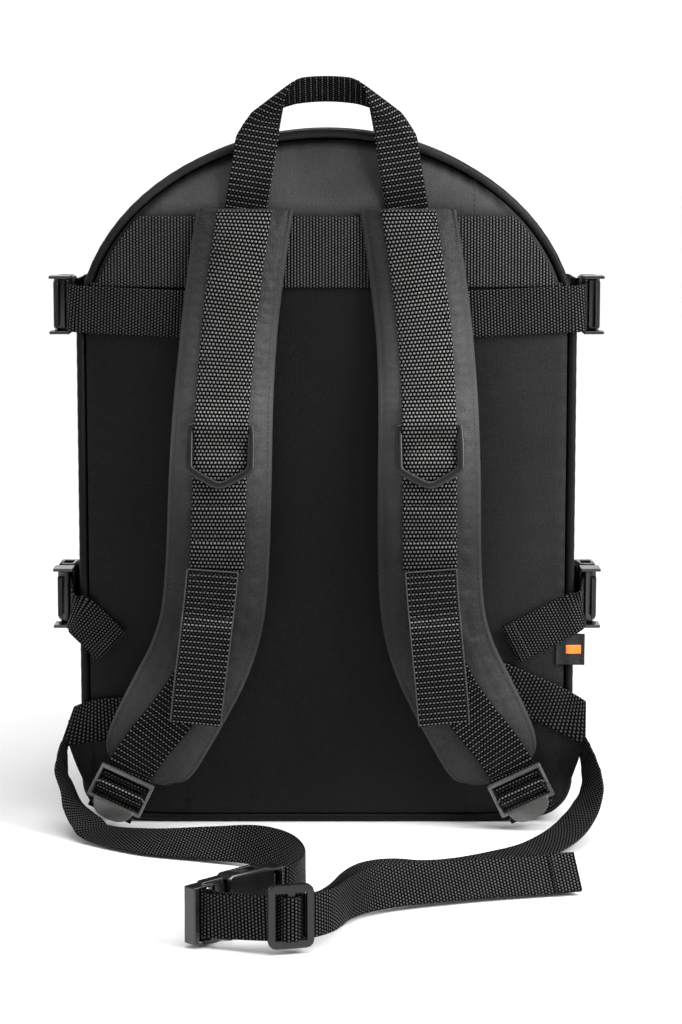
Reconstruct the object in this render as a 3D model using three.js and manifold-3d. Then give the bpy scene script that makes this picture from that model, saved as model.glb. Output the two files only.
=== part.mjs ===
// Sports backpack standing on its base, harness side towards -Y, millimetres, +Z up.
// The hollow cloth body carries padded shoulder straps, a grab handle, four compression straps
// with side-release buckles, and a waist belt that lies on the floor in front.
import * as THREE from "three";
import { mergeVertices } from "three/addons/utils/BufferGeometryUtils.js";
import Module from "manifold-3d";

const wasm = await Module();
wasm.setup();

// Driving sizes
const GAP = 0.4;
const WEB = 1.6;
const BODY = {
  halfWidth: 175, straightTop: 348, archRise: 143, corner: 24, backY: -95, panelInner: -87, wall: 2,
  liftStart: 100, liftEnd: 175, cornerLift: 7,
};
const CROWN = [
  { inset: 7, rise: 0.6 },
  { inset: 14, rise: 2.0 },
  { inset: 40, rise: 3.9 },
  { inset: 80, rise: 5.0 },
];
const PIPING = { radius: 3, centreY: -93 };
const GUSSET = [
  { y: -89.4, inset: 2.0 },
  { y: -60, inset: -0.8 },
  { y: -10, inset: -2.5 },
  { y: 40, inset: 0 },
  { y: 74, inset: 6 },
];
const FRONT = [
  { y: 74.4, inset: 6 },
  { y: 83, inset: 8.5 },
  { y: 91, inset: 17 },
  { y: 96.5, inset: 36 },
  { y: 99, inset: 72 },
];
const ZIP = {
  low: 120, nearY: 17, farY: 41, tape: 1.5, chainHalf: 3, chainRise: 1.4, pull: 34, sliderZ: 210,
};
const TOP_BAND = { bottom: 382, top: 431, end: 164, trim: 9, lift: 0.6 };
const STRAP = { half: 18.5, low: 172 };
const TAB = { half: 17.5 };
const ADJUST = { half: 16.5 };
const BELT = { half: 15, buckleLength: 66 };
const SIDE = { half: 17.5, buckleLength: 56, buckleY: -80, buckleX: 187 };

// Shoulder pad centre line: place, distance of its back from the panel, half width and front crown
const PAD = [
  { z: 436, x: 56.3, gap: 2.8, half: 33, plump: 5 },
  { z: 415, x: 59.5, gap: 3.4, half: 33.2, plump: 8.5 },
  { z: 385, x: 63.6, gap: 6, half: 33.3, plump: 10.5 },
  { z: 354, x: 67.3, gap: 9.5, half: 33.4, plump: 10.5 },
  { z: 322, x: 69.5, gap: 14, half: 34, plump: 10.5 },
  { z: 290, x: 70.6, gap: 19, half: 34.8, plump: 10.5 },
  { z: 250, x: 71, gap: 24.5, half: 35.6, plump: 10.5 },
  { z: 205, x: 71.2, gap: 28, half: 35.8, plump: 10.5 },
  { z: 170, x: 72.6, gap: 28.5, half: 36, plump: 10.5 },
  { z: 146, x: 76, gap: 27.5, half: 36, plump: 10.5 },
  { z: 121, x: 84, gap: 25, half: 36, plump: 10.5 },
  { z: 97, x: 95.5, gap: 21, half: 36, plump: 10.5 },
  { z: 74, x: 107, gap: 17, half: 35.5, plump: 10 },
  { z: 56, x: 115.5, gap: 13.5, half: 34, plump: 9 },
  { z: 46, x: 120, gap: 12, half: 30, plump: 7.5 },
  { z: 40, x: 122.5, gap: 11.5, half: 22, plump: 5 },
];
const PAD_BACK = 0.28;
// Pad section as shares of the half width and of the front crown
const PAD_SECTION = [
  { across: -1, out: 0 },
  { across: -0.96, out: 0.45 },
  { across: -0.8, out: 0.78 },
  { across: 0, out: 1 },
  { across: 0.8, out: 0.78 },
  { across: 0.96, out: 0.45 },
  { across: 1, out: 0 },
  { across: 0.95, out: -0.24 },
  { across: 0, out: -PAD_BACK },
  { across: -0.95, out: -0.24 },
];

// Grab handle from its left foot to the top: centre line and the normal of its outer face
const HANDLE_HALF = 14.5;
const HANDLE = [
  { x: -56, y: -100.6, z: 432.4, nx: 0, ny: -1, nz: 0 },
  { x: -55, y: -101.1, z: 447, nx: 0, ny: -1, nz: 0 },
  { x: -52, y: -105, z: 470, nx: -0.12, ny: -0.99, nz: 0.05 },
  { x: -47, y: -109, z: 489, nx: -0.35, ny: -0.92, nz: 0.18 },
  { x: -40, y: -111.5, z: 502, nx: -0.72, ny: -0.55, nz: 0.42 },
  { x: -27.5, y: -113, z: 511.5, nx: -0.66, ny: 0.1, nz: 0.75 },
  { x: -13, y: -114, z: 515, nx: -0.22, ny: 0.52, nz: 0.83 },
  { x: 0, y: -114, z: 516, nx: 0, ny: 0.62, nz: 0.78 },
];

// D-ring: a straight bar under the strap webbing and a V-shaped bottom that lies on it
const RING = { z: 287, wire: 2.15, lean: 3.2, clear: 0.5, bulge: 14 };
const RING_PATH = [
  { across: 18.3, down: 0 },
  { across: 20.4, down: 0.9 },
  { across: 21.3, down: 3 },
  { across: 21.3, down: 24 },
  { across: 20.2, down: 28 },
  { across: 16.5, down: 31.6 },
  { across: 4.5, down: 39.2 },
  { across: 0, down: 40.6 },
];

// Loose tab on the pad, and the webbing that leaves from under it for the ladder lock
const TAB_LINE = [
  { x: 71.8, z: 190, lift: 2.7 },
  { x: 73.6, z: 166, lift: 2.9 },
  { x: 76.2, z: 138, lift: 4.2 },
  { x: 79, z: 110, lift: 6.6 },
  { x: 81.5, z: 82, lift: 8 },
];
const LOWER_LINE = [
  { x: 80, z: 122, lift: 0.9 },
  { x: 91, z: 101, lift: 0.9 },
  { x: 104, z: 82, lift: 0.9 },
  { x: 117, z: 65, lift: 0.9 },
];
const LADDER = {
  centre: [138, -122.5, 27], down: [0.42, 0.2, -0.885], half: 20.5, thick: 4,
  top: -17, slotOneTop: -12.5, midTop: -5.5, slotTwoTop: -0.5, gripTop: 6.5, gripEnd: 16.5,
};
// Webbing through the ladder lock: distance down from its centre and out from its plane
const LADDER_TOP_WEB = [
  { down: -20, out: 3.6 },
  { down: -12.8, out: 3.5 },
  { down: -11.2, out: 2.4 },
  { down: -11, out: 0 },
  { down: -11, out: -2.6 },
];
const LADDER_THREAD = [
  { down: 19, out: -3.9 },
  { down: 10, out: -3.4 },
  { down: 4.6, out: -3.3 },
  { down: 2.8, out: -1.6 },
  { down: 1.5, out: 1.4 },
  { down: -0.6, out: 3.4 },
  { down: -5.4, out: 3.4 },
  { down: -7.7, out: 1.6 },
  { down: -8.3, out: 0 },
  { down: -8.4, out: -3 },
  { down: -5.5, out: -6 },
  { down: 4, out: -7 },
];
const ADJUST_ANCHOR = { x: 149.5, y: -102.4, z: 13.2 };

// Corner wing columns and the hip webbing that crosses each wing to its tip, by side
const WING_BACK = -96.6;
const WING_LIFT = 1.1;
const WINGS = {
  left: {
    side: -1, webStart: 112, tip: 185, tipZ: 74.5, slope: 0.06,
    columns: [
      { x: 128, low: 32 }, { x: 145, low: 14 }, { x: 160, low: 13 },
      { x: 170, low: 24 }, { x: 178, low: 40 }, { x: 184, low: 57 },
    ],
  },
  right: {
    side: 1, webStart: 106, tip: 184, tipZ: 75.5, slope: 0.44,
    columns: [
      { x: 128, low: 32 }, { x: 145, low: 14 }, { x: 160, low: 13 },
      { x: 170, low: 22 }, { x: 178, low: 42 }, { x: 183, low: 58 },
    ],
  },
};

// Compression straps on the panel: sewn end, edge and buckle heights by side
const UPPER_STRAP = { start: 60, startZ: 362, edgeZ: 367, buckleZ: 369 };
const LOWER_STRAP = { start: 139, startZ: 137, edgeZ: 157, buckleZ: 161 };
const TAG = { inner: 162, outer: 182.5, low: 115, high: 137.5, back: -97.4, thick: 0.9 };

// Waist belt routes: place of the centre line and the direction of its upper edge
const BELT_LEFT = [
  { x: -187, y: -100, z: 80, wx: 0, wy: 1, wz: 0 },
  { x: -189.5, y: -103.5, z: 70, wx: 0, wy: 1, wz: 0 },
  { x: -190.5, y: -108, z: 58, wx: 0, wy: 1, wz: 0 },
  { x: -189.3, y: -113, z: 45.5, wx: 0, wy: 1, wz: 0 },
  { x: -186.3, y: -119, z: 32, wx: 0.1, wy: 1, wz: 0.05 },
  { x: -181, y: -127, z: 19.5, wx: 0.25, wy: 0.95, wz: 0.1 },
  { x: -172, y: -136.5, z: 10, wx: 0.45, wy: 0.85, wz: 0.12 },
  { x: -157, y: -150, z: 6, wx: 0.5, wy: 0.83, wz: 0.16 },
  { x: -121, y: -178, z: 7.8, wx: 0.35, wy: 0.82, wz: 0.42 },
  { x: -79, y: -196, z: 11.4, wx: 0.25, wy: 0.72, wz: 0.65 },
  { x: -48, y: -213, z: 14.5, wx: 0.25, wy: 0.4, wz: 0.88 },
  { x: -25, y: -242, z: 16.2, wx: 0.1, wy: 0.1, wz: 1 },
  { x: -14, y: -278, z: 17, wx: 0, wy: 0, wz: 1 },
  { x: -15.5, y: -312, z: 18.6, wx: 0, wy: 0, wz: 1 },
  { x: -22.5, y: -336, z: 20.4, wx: 0, wy: 0, wz: 1 },
];
const BELT_RIGHT = [
  { x: 187.4, y: -100, z: 79, wx: 0, wy: 1, wz: 0 },
  { x: 190.8, y: -104, z: 69.5, wx: 0, wy: 1, wz: 0 },
  { x: 193.3, y: -110, z: 57.5, wx: 0, wy: 1, wz: 0 },
  { x: 193.6, y: -118, z: 44.5, wx: 0, wy: 1, wz: 0 },
  { x: 191, y: -127, z: 31.5, wx: -0.12, wy: 1, wz: 0.05 },
  { x: 184.5, y: -137.5, z: 19, wx: -0.28, wy: 0.95, wz: 0.1 },
  { x: 173, y: -149, z: 11, wx: -0.45, wy: 0.85, wz: 0.15 },
  { x: 152, y: -168, z: 7, wx: -0.5, wy: 0.8, wz: 0.3 },
  { x: 124, y: -195, z: 9, wx: -0.45, wy: 0.75, wz: 0.48 },
  { x: 99, y: -217, z: 10.8, wx: -0.4, wy: 0.68, wz: 0.6 },
  { x: 72, y: -240, z: 13.4, wx: -0.3, wy: 0.5, wz: 0.8 },
  { x: 48, y: -264, z: 15.5, wx: -0.15, wy: 0.25, wz: 0.95 },
  { x: 29, y: -293, z: 16.4, wx: 0, wy: 0, wz: 1 },
  { x: 17, y: -323, z: 17.2, wx: 0, wy: 0, wz: 1 },
  { x: 10, y: -350, z: 19, wx: 0, wy: 0, wz: 1 },
  { x: 5.5, y: -374, z: 21, wx: 0, wy: 0, wz: 1 },
  { x: 0.5, y: -391.5, z: 22, wx: 0, wy: 0, wz: 1 },
];
const BELT_TAIL = [
  { x: 4.5, y: -393, z: 22, wx: 0, wy: 0, wz: 1 },
  { x: 10.5, y: -375, z: 20.5, wx: 0, wy: 0, wz: 1 },
  { x: 16.5, y: -351, z: 17.8, wx: 0, wy: 0, wz: 1 },
  { x: 29, y: -329, z: 16.4, wx: -0.1, wy: 0.2, wz: 0.97 },
  { x: 54, y: -312, z: 15.4, wx: -0.15, wy: 0.4, wz: 0.9 },
  { x: 99, y: -293, z: 13.4, wx: -0.2, wy: 0.6, wz: 0.77 },
  { x: 140, y: -282, z: 13, wx: -0.15, wy: 0.62, wz: 0.76 },
  { x: 163, y: -276, z: 13, wx: -0.15, wy: 0.62, wz: 0.76 },
];
// Slider on the belt, and the waist buckle: place and direction along the webbing
const SLIDER = {
  centre: [-20, -411, 22], along: [0.97, 0.24, 0], half: 21.4, reach: 14, thick: 4, bar: 4.2, mid: 2.2,
};
const SLIDER_WEAVE = [
  { along: -16, out: -3.4 },
  { along: -9, out: -3.4 },
  { along: -6, out: 0 },
  { along: -3, out: 3.3 },
  { along: 3, out: 3.3 },
  { along: 6, out: 0 },
  { along: 9, out: -3.4 },
  { along: 16, out: -3.4 },
];
const SLIDER_BEHIND = [
  { along: 16, out: -5.9 },
  { along: 0, out: -5.9 },
  { along: -16, out: -5.9 },
];
const WAIST_BUCKLE = { centre: [-76, -395, 20.6], along: [0.7, 0.714, 0] };
const BAR_WRAP = [
  { along: 3, out: -4.3 },
  { along: -0.4, out: -4.2 },
  { along: -1.8, out: -2.5 },
  { along: -1.8, out: 2 },
  { along: -0.9, out: 5 },
  { along: 2, out: 12 },
];
const SLOT_ENTRY = [
  { along: 8.8, out: 9.5 },
  { along: 7.6, out: 4 },
  { along: 7.6, out: -2 },
];
const ROUTE_STEP = 24;

const vec = (x, y, z) => new THREE.Vector3(x, y, z);
const fromArray = (row) => vec(row[0], row[1], row[2]);

// Closed solid from a list of points and a list of triangles, turned so that its faces point out
function closedSolid(points, triangles) {
  let volume = 0;
  for (const [a, b, c] of triangles) {
    volume += points[a].dot(points[b].clone().cross(points[c]));
  }
  const faces = volume < 0 ? triangles.map(([a, b, c]) => [a, c, b]) : triangles;
  const geometry = new THREE.BufferGeometry();
  geometry.setAttribute("position", new THREE.Float32BufferAttribute(points.flatMap((p) => p.toArray()), 3));
  geometry.setIndex(faces.flat());
  geometry.computeVertexNormals();
  return geometry;
}

// Triangles that close one ring of points, given in the ring's own order
function capTriangles(ring, start) {
  const middle = ring.reduce((sum, p) => sum.add(p), vec(0, 0, 0)).divideScalar(ring.length);
  const normal = vec(0, 0, 0);
  ring.forEach((p, i) => {
    const next = ring[(i + 1) % ring.length];
    normal.add(p.clone().sub(middle).cross(next.clone().sub(middle)));
  });
  normal.normalize();
  const right = ring[0].clone().sub(middle).normalize();
  const up = normal.clone().cross(right);
  const flat = ring.map((p) => {
    const d = p.clone().sub(middle);
    return new THREE.Vector2(d.dot(right), d.dot(up));
  });
  return THREE.ShapeUtils.triangulateShape(flat, []).map((t) => t.map((i) => i + start));
}

// Skin through a row of rings with the same number of points, capped or closed on itself.
// The two halves of a ring are split along matching diagonals, so a thin twisted strip keeps its thickness.
function loft(rings, closed = false) {
  const count = rings[0].length;
  const points = rings.flat();
  const triangles = [];
  const last = closed ? rings.length : rings.length - 1;
  for (let r = 0; r < last; r += 1) {
    const a = r * count;
    const b = ((r + 1) % rings.length) * count;
    for (let i = 0; i < count; i += 1) {
      const j = (i + 1) % count;
      if (i < count / 2) {
        triangles.push([a + i, a + j, b + j], [a + i, b + j, b + i]);
      } else {
        triangles.push([a + i, a + j, b + i], [a + j, b + j, b + i]);
      }
    }
  }
  if (!closed) {
    const end = (rings.length - 1) * count;
    capTriangles(rings[0], 0).forEach(([a, b, c]) => triangles.push([a, c, b]));
    capTriangles(rings[rings.length - 1], end).forEach((t) => triangles.push(t));
  }
  return closedSolid(points, triangles);
}

// Sheet that follows a skin y = back(x, z) over a grid of {x, z} rows, with a thickness towards -Y
function patch(grid, back, thick) {
  const rings = grid.map((row) => {
    const behind = row.map((p) => vec(p.x, back(p.x, p.z), p.z));
    const ahead = row.map((p) => vec(p.x, back(p.x, p.z) - thick, p.z)).reverse();
    return [...behind, ...ahead];
  });
  return loft(rings);
}

// Flat ribbon through stations of a centre point and the direction across
function ribbon(stations, half, thick) {
  const rings = stations.map((station, i) => {
    const before = stations[Math.max(i - 1, 0)].point;
    const after = stations[Math.min(i + 1, stations.length - 1)].point;
    const tangent = after.clone().sub(before).normalize();
    const normal = station.across.clone().cross(tangent).normalize();
    const across = tangent.clone().cross(normal).multiplyScalar(half);
    normal.multiplyScalar(thick / 2);
    return [
      station.point.clone().add(across).add(normal),
      station.point.clone().add(across).sub(normal),
      station.point.clone().sub(across).sub(normal),
      station.point.clone().sub(across).add(normal),
    ];
  });
  return loft(rings);
}

// Stations along a hand-chosen route, with smooth steps between points that lie far apart
function routeStations(route) {
  const line = new THREE.CatmullRomCurve3(route.map((r) => vec(r.x, r.y, r.z)), false, "catmullrom", 0.5);
  const edge = new THREE.CatmullRomCurve3(route.map((r) => vec(r.wx, r.wy, r.wz)), false, "catmullrom", 0.5);
  const stations = [];
  const spans = route.length - 1;
  for (let i = 0; i < spans; i += 1) {
    const length = line.points[i].distanceTo(line.points[i + 1]);
    const steps = Math.ceil(length / ROUTE_STEP);
    for (let k = 0; k < steps; k += 1) {
      const t = (i + k / steps) / spans;
      stations.push({ point: line.getPoint(t), across: edge.getPoint(t) });
    }
  }
  stations.push({ point: line.points[spans].clone(), across: edge.points[spans].clone() });
  return stations;
}

// Body outline in the XZ plane moved in by an inset, its bottom held at a floor height
function bodyOutline(inset, floor = Math.max(inset, 0)) {
  const half = BODY.halfWidth - inset;
  const rise = BODY.archRise - inset;
  const corner = Math.max(BODY.corner - Math.max(inset, 0), 6);
  const right = [];
  for (const share of [0, 0.4, 0.8]) {
    right.push({ x: (half - corner) * share, z: floor });
  }
  for (const turn of [0, 30, 60, 90]) {
    const angle = THREE.MathUtils.degToRad(turn);
    const x = half - corner + corner * Math.sin(angle);
    right.push({ x, z: floor + corner * (1 - Math.cos(angle)) });
  }
  for (const share of [0.25, 0.5, 0.75]) {
    right.push({ x: half, z: floor + corner + (BODY.straightTop - floor - corner) * share });
  }
  for (let turn = 0; turn < 90; turn += 10) {
    const angle = THREE.MathUtils.degToRad(turn);
    right.push({ x: half * Math.cos(angle), z: BODY.straightTop + rise * Math.sin(angle) });
  }
  const left = right.slice(1).map((p) => ({ x: -p.x, z: p.z })).reverse();
  return [...right, { x: 0, z: BODY.straightTop + rise }, ...left];
}

// How far the soft bottom corners lift off the floor
function cornerLift(x) {
  const share = THREE.MathUtils.clamp((Math.abs(x) - BODY.liftStart) / (BODY.liftEnd - BODY.liftStart), 0, 1);
  return BODY.cornerLift * share * share;
}

// Outline ring in space, with the bottom corners lifted
function bodyRing(inset, y, floor) {
  return bodyOutline(inset, floor).map((p) => {
    const fade = THREE.MathUtils.clamp(1 - p.z / BODY.straightTop, 0, 1);
    return vec(p.x, y, p.z + cornerLift(p.x) * fade);
  });
}

// Distance of a point on the back panel from the body outline
function insetAt(x, z) {
  if (z <= BODY.straightTop) {
    return Math.min(BODY.halfWidth - Math.abs(x), z);
  }
  let low = -20;
  let high = BODY.archRise - 1;
  for (let i = 0; i < 40; i += 1) {
    const middle = (low + high) / 2;
    const across = x / (BODY.halfWidth - middle);
    const up = (z - BODY.straightTop) / (BODY.archRise - middle);
    if (across * across + up * up < 1) {
      low = middle;
    } else {
      high = middle;
    }
  }
  return low;
}

// Outer face of the padded back panel
function panelFace(x, z) {
  const inset = insetAt(x, z);
  const next = CROWN.findIndex((row) => row.inset > inset);
  if (next === 0) {
    return BODY.backY - CROWN[0].rise;
  }
  if (next < 0) {
    return BODY.backY - CROWN[CROWN.length - 1].rise;
  }
  const a = CROWN[next - 1];
  const b = CROWN[next];
  return BODY.backY - THREE.MathUtils.lerp(a.rise, b.rise, (inset - a.inset) / (b.inset - a.inset));
}

function backPanel() {
  const front = CROWN.map((row) => bodyRing(row.inset, BODY.backY - row.rise)).reverse();
  const inside = bodyRing(CROWN[0].inset, BODY.panelInner);
  return loft([...front, inside]);
}

// Corded edge round the panel
function piping() {
  const path = bodyRing(PIPING.radius, PIPING.centreY, PIPING.radius + 0.5);
  const rings = path.map((p, i) => {
    const before = path[(i + path.length - 1) % path.length];
    const after = path[(i + 1) % path.length];
    const out = after.clone().sub(before).cross(vec(0, -1, 0)).normalize();
    const ring = [];
    for (let k = 0; k < 6; k += 1) {
      const angle = (k * Math.PI) / 3;
      const step = out.clone().multiplyScalar(PIPING.radius * Math.cos(angle));
      ring.push(p.clone().add(step).add(vec(0, PIPING.radius * Math.sin(angle), 0)));
    }
    return ring;
  });
  return loft(rings, true);
}

// Solid for joining and cutting
function manifoldOf(geometry) {
  const bare = geometry.clone();
  bare.deleteAttribute("normal");
  bare.deleteAttribute("uv");
  const merged = mergeVertices(bare);
  const vertProperties = merged.getAttribute("position").array;
  const triVerts = new Uint32Array(merged.getIndex().array);
  return new wasm.Manifold(new wasm.Mesh({ numProp: 3, vertProperties, triVerts }));
}

function geometryOf(solid) {
  const mesh = solid.getMesh();
  const geometry = new THREE.BufferGeometry();
  geometry.setAttribute("position", new THREE.Float32BufferAttribute(mesh.vertProperties, 3));
  geometry.setIndex(Array.from(mesh.triVerts));
  geometry.computeVertexNormals();
  return geometry;
}

// The part of the body outline above the zip's ends
function zipArch(inset) {
  const arch = bodyOutline(inset).filter((p) => p.z > ZIP.low + 30);
  const half = BODY.halfWidth - inset;
  return [{ x: half, z: ZIP.low }, ...arch, { x: -half, z: ZIP.low }];
}

function gussetInset(y) {
  const next = GUSSET.findIndex((row) => row.y >= y);
  const a = GUSSET[next - 1];
  const b = GUSSET[next];
  return THREE.MathUtils.lerp(a.inset, b.inset, (y - a.y) / (b.y - a.y));
}

// Side, top and base wall between the back panel and the front, slotted for the zip
function gusset() {
  const outer = GUSSET.map((row) => bodyRing(row.inset, row.y, 0));
  const inner = GUSSET.map((row) => bodyRing(row.inset + BODY.wall, row.y, BODY.wall)).reverse();
  const band = manifoldOf(loft([...outer, ...inner], true));
  const outside = zipArch(-12);
  const within = zipArch(12);
  const slot = loft(outside.map((p, i) => {
    const q = within[i];
    const corners = [[p, ZIP.nearY], [p, ZIP.farY], [q, ZIP.farY], [q, ZIP.nearY]];
    return corners.map(([edge, y]) => vec(edge.x, y, edge.z));
  }));
  return geometryOf(band.subtract(manifoldOf(slot)));
}

// Zip tape with its raised chain, one strip inside the slot
function zip() {
  const near = ZIP.nearY + GAP;
  const far = ZIP.farY - GAP;
  const middle = (near + far) / 2;
  const chain = ZIP.chainHalf;
  const section = [
    { y: near, up: 0 },
    { y: middle - chain, up: 0 },
    { y: middle - chain, up: ZIP.chainRise },
    { y: middle + chain, up: ZIP.chainRise },
    { y: middle + chain, up: 0 },
    { y: far, up: 0 },
    { y: far, up: -ZIP.tape },
    { y: near, up: -ZIP.tape },
  ];
  const columns = section.map((s) => zipArch(gussetInset(s.y) - s.up).map((p) => vec(p.x, s.y, p.z)));
  const rings = columns[0].map((_, i) => columns.map((column) => column[i]));
  const ends = [rings[0], rings[rings.length - 1]];
  ends.forEach((ring) => ring.forEach((p) => p.setZ(ZIP.low + GAP)));
  return loft(rings);
}

// Slider body with its pull tab, lying on the chain
function zipSlider() {
  const y = (ZIP.nearY + ZIP.farY) / 2;
  const x = BODY.halfWidth - gussetInset(y) + ZIP.chainRise + GAP;
  const profile = new THREE.Shape();
  profile.moveTo(0, 0);
  profile.lineTo(4.5, 1);
  profile.lineTo(4.5, 12);
  profile.lineTo(2.4, 14);
  profile.lineTo(0, 14);
  const tab = new THREE.Shape();
  tab.moveTo(2.4, 3);
  tab.lineTo(4.6, 3);
  tab.lineTo(2.6, 3 - ZIP.pull);
  tab.lineTo(0.6, 3 - ZIP.pull);
  const body = extrudeAcross(profile, 9);
  const pull = extrudeAcross(tab, 5);
  const joined = geometryOf(manifoldOf(body).add(manifoldOf(pull)));
  joined.translate(x, y, ZIP.sliderZ);
  return joined;
}

// Profile in (x, z) given a width along y, centred
function extrudeAcross(shape, width) {
  const geometry = new THREE.ExtrudeGeometry(shape, { depth: width, bevelEnabled: false });
  geometry.rotateX(Math.PI / 2);
  geometry.translate(0, width / 2, 0);
  return geometry;
}

// Domed front, hollow behind
function frontPanel() {
  const rim = FRONT[0];
  const outer = FRONT.map((row) => bodyRing(row.inset, row.y, row.inset - rim.inset));
  const inner = FRONT.map((row) => {
    const y = row === rim ? row.y : row.y - BODY.wall;
    return bodyRing(row.inset + BODY.wall, y, row.inset - rim.inset + BODY.wall);
  });
  return loft([...inner.reverse(), ...outer]);
}

// Wide webbing sewn across the panel, its ends trimmed to the arch
function topBand() {
  const columns = 16;
  const grid = [];
  for (let i = 0; i <= columns; i += 1) {
    const x = -TOP_BAND.end + (2 * TOP_BAND.end * i) / columns;
    const share = Math.min(Math.abs(x) / (BODY.halfWidth - TOP_BAND.trim), 1);
    const rise = (BODY.archRise - TOP_BAND.trim) * Math.sqrt(1 - share * share);
    const top = Math.max(Math.min(TOP_BAND.top, BODY.straightTop + rise), TOP_BAND.bottom + 3);
    grid.push([0, 0.5, 1].map((t) => ({ x, z: THREE.MathUtils.lerp(TOP_BAND.bottom, top, t) })));
  }
  return patch(grid, (x, z) => panelFace(x, z) - TOP_BAND.lift, WEB);
}

function handle() {
  const right = HANDLE.slice(0, -1).map((r) => ({ ...r, x: -r.x, nx: -r.nx })).reverse();
  const rows = [...HANDLE, ...right];
  const line = new THREE.CatmullRomCurve3(rows.map((r) => vec(r.x, r.y, r.z)), false, "catmullrom", 0.5);
  const facing = new THREE.CatmullRomCurve3(rows.map((r) => vec(r.nx, r.ny, r.nz)), false, "catmullrom", 0.5);
  const stations = [];
  const steps = 2 * (rows.length - 1);
  for (let i = 0; i <= steps; i += 1) {
    const tangent = line.getTangent(i / steps);
    const across = tangent.clone().cross(facing.getPoint(i / steps)).normalize();
    stations.push({ point: line.getPoint(i / steps), across });
  }
  return ribbon(stations, HANDLE_HALF, WEB);
}

// Centre curve of a shoulder pad, its frames and its sizes along the way
const padPoint = (row) => vec(row.x, panelFace(row.x, row.z) - row.gap - PAD_BACK * row.plump, row.z);
const padCurve = new THREE.CatmullRomCurve3(PAD.map(padPoint), false, "catmullrom", 0.5);

function padFrame(t) {
  const point = padCurve.getPoint(t);
  const tangent = padCurve.getTangent(t).normalize();
  const across = tangent.clone().cross(vec(0, -1, 0)).normalize();
  if (across.x < 0) {
    across.negate();
  }
  const out = across.clone().cross(tangent).normalize();
  if (out.y > 0) {
    out.negate();
  }
  const spot = t * (PAD.length - 1);
  const i = Math.min(Math.floor(spot), PAD.length - 2);
  const half = THREE.MathUtils.lerp(PAD[i].half, PAD[i + 1].half, spot - i);
  const plump = THREE.MathUtils.lerp(PAD[i].plump, PAD[i + 1].plump, spot - i);
  return { point, tangent, across, out, half, plump };
}

function padShareAt(z) {
  let low = 0;
  let high = 1;
  for (let i = 0; i < 40; i += 1) {
    const middle = (low + high) / 2;
    if (padCurve.getPoint(middle).z > z) {
      low = middle;
    } else {
      high = middle;
    }
  }
  return low;
}

const onPad = (frame, across, out) => frame.point.clone()
  .addScaledVector(frame.across, across)
  .addScaledVector(frame.out, out);

// Front crown of the pad section at a share of its half width
function padCrown(share) {
  const rows = PAD_SECTION.slice(0, 7);
  const next = rows.findIndex((row) => row.across >= share);
  if (next <= 0) {
    return 0;
  }
  const a = rows[next - 1];
  const b = rows[next];
  return THREE.MathUtils.lerp(a.out, b.out, (share - a.across) / (b.across - a.across));
}

// Front face of the pad under a point of the XZ plane
function padFaceY(x, z) {
  const samples = 240;
  let best = { distance: Infinity };
  for (let i = 0; i <= samples; i += 1) {
    const frame = padFrame(i / samples);
    const dx = x - frame.point.x;
    const dz = z - frame.point.z;
    const distance = Math.hypot(dx, dz);
    if (distance < best.distance) {
      best = { distance, frame, side: dx * frame.across.x + dz * frame.across.z };
    }
  }
  const share = THREE.MathUtils.clamp(best.side / best.frame.half, -1, 1);
  return best.frame.point.y - best.frame.plump * padCrown(share);
}

function pad() {
  const rings = [];
  const steps = 22;
  for (let i = 0; i <= steps; i += 1) {
    const frame = padFrame(i / steps);
    rings.push(PAD_SECTION.map((s) => onPad(frame, s.across * frame.half, s.out * frame.plump)));
  }
  return loft(rings);
}

// Strap webbing sewn on the pad, raised in a tunnel over the D-ring's bar
const ringFrame = padFrame(padShareAt(RING.z));
const ringBarOut = ringFrame.plump + GAP + RING.wire;

function strapWebbing() {
  const bulge = ringBarOut + RING.wire + RING.clear - ringFrame.plump - GAP;
  const heights = [434.5, 418, 398, 374, 350, 326];
  for (const step of [14, 8, 4, 0, -4, -8, -14]) {
    heights.push(RING.z + step);
  }
  heights.push(252, 232, 212, 192, STRAP.low);
  const rings = heights.map((z) => {
    const frame = padFrame(padShareAt(z));
    const away = Math.min(Math.abs(z - RING.z) / RING.bulge, 1);
    const lift = GAP + bulge * Math.cos((away * Math.PI) / 2) ** 2;
    const share = STRAP.half / frame.half;
    const side = frame.plump * (away < 1 ? 1 : padCrown(share)) + lift;
    const middle = frame.plump + lift;
    return [
      onPad(frame, -STRAP.half, side),
      onPad(frame, 0, middle),
      onPad(frame, STRAP.half, side),
      onPad(frame, STRAP.half, side + WEB),
      onPad(frame, 0, middle + WEB),
      onPad(frame, -STRAP.half, side + WEB),
    ];
  });
  return loft(rings);
}

// D-ring wire swept round its path, leaning so that the V lies on the webbing
function ringBasis() {
  const lean = THREE.MathUtils.degToRad(RING.lean);
  const fall = ringFrame.tangent.clone();
  if (fall.z > 0) {
    fall.negate();
  }
  const down = fall.clone().multiplyScalar(Math.cos(lean)).addScaledVector(ringFrame.out, Math.sin(lean));
  const out = ringFrame.out.clone().multiplyScalar(Math.cos(lean)).addScaledVector(fall, -Math.sin(lean));
  return { down, out, across: ringFrame.across, pivot: onPad(ringFrame, 0, ringBarOut) };
}

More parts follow.
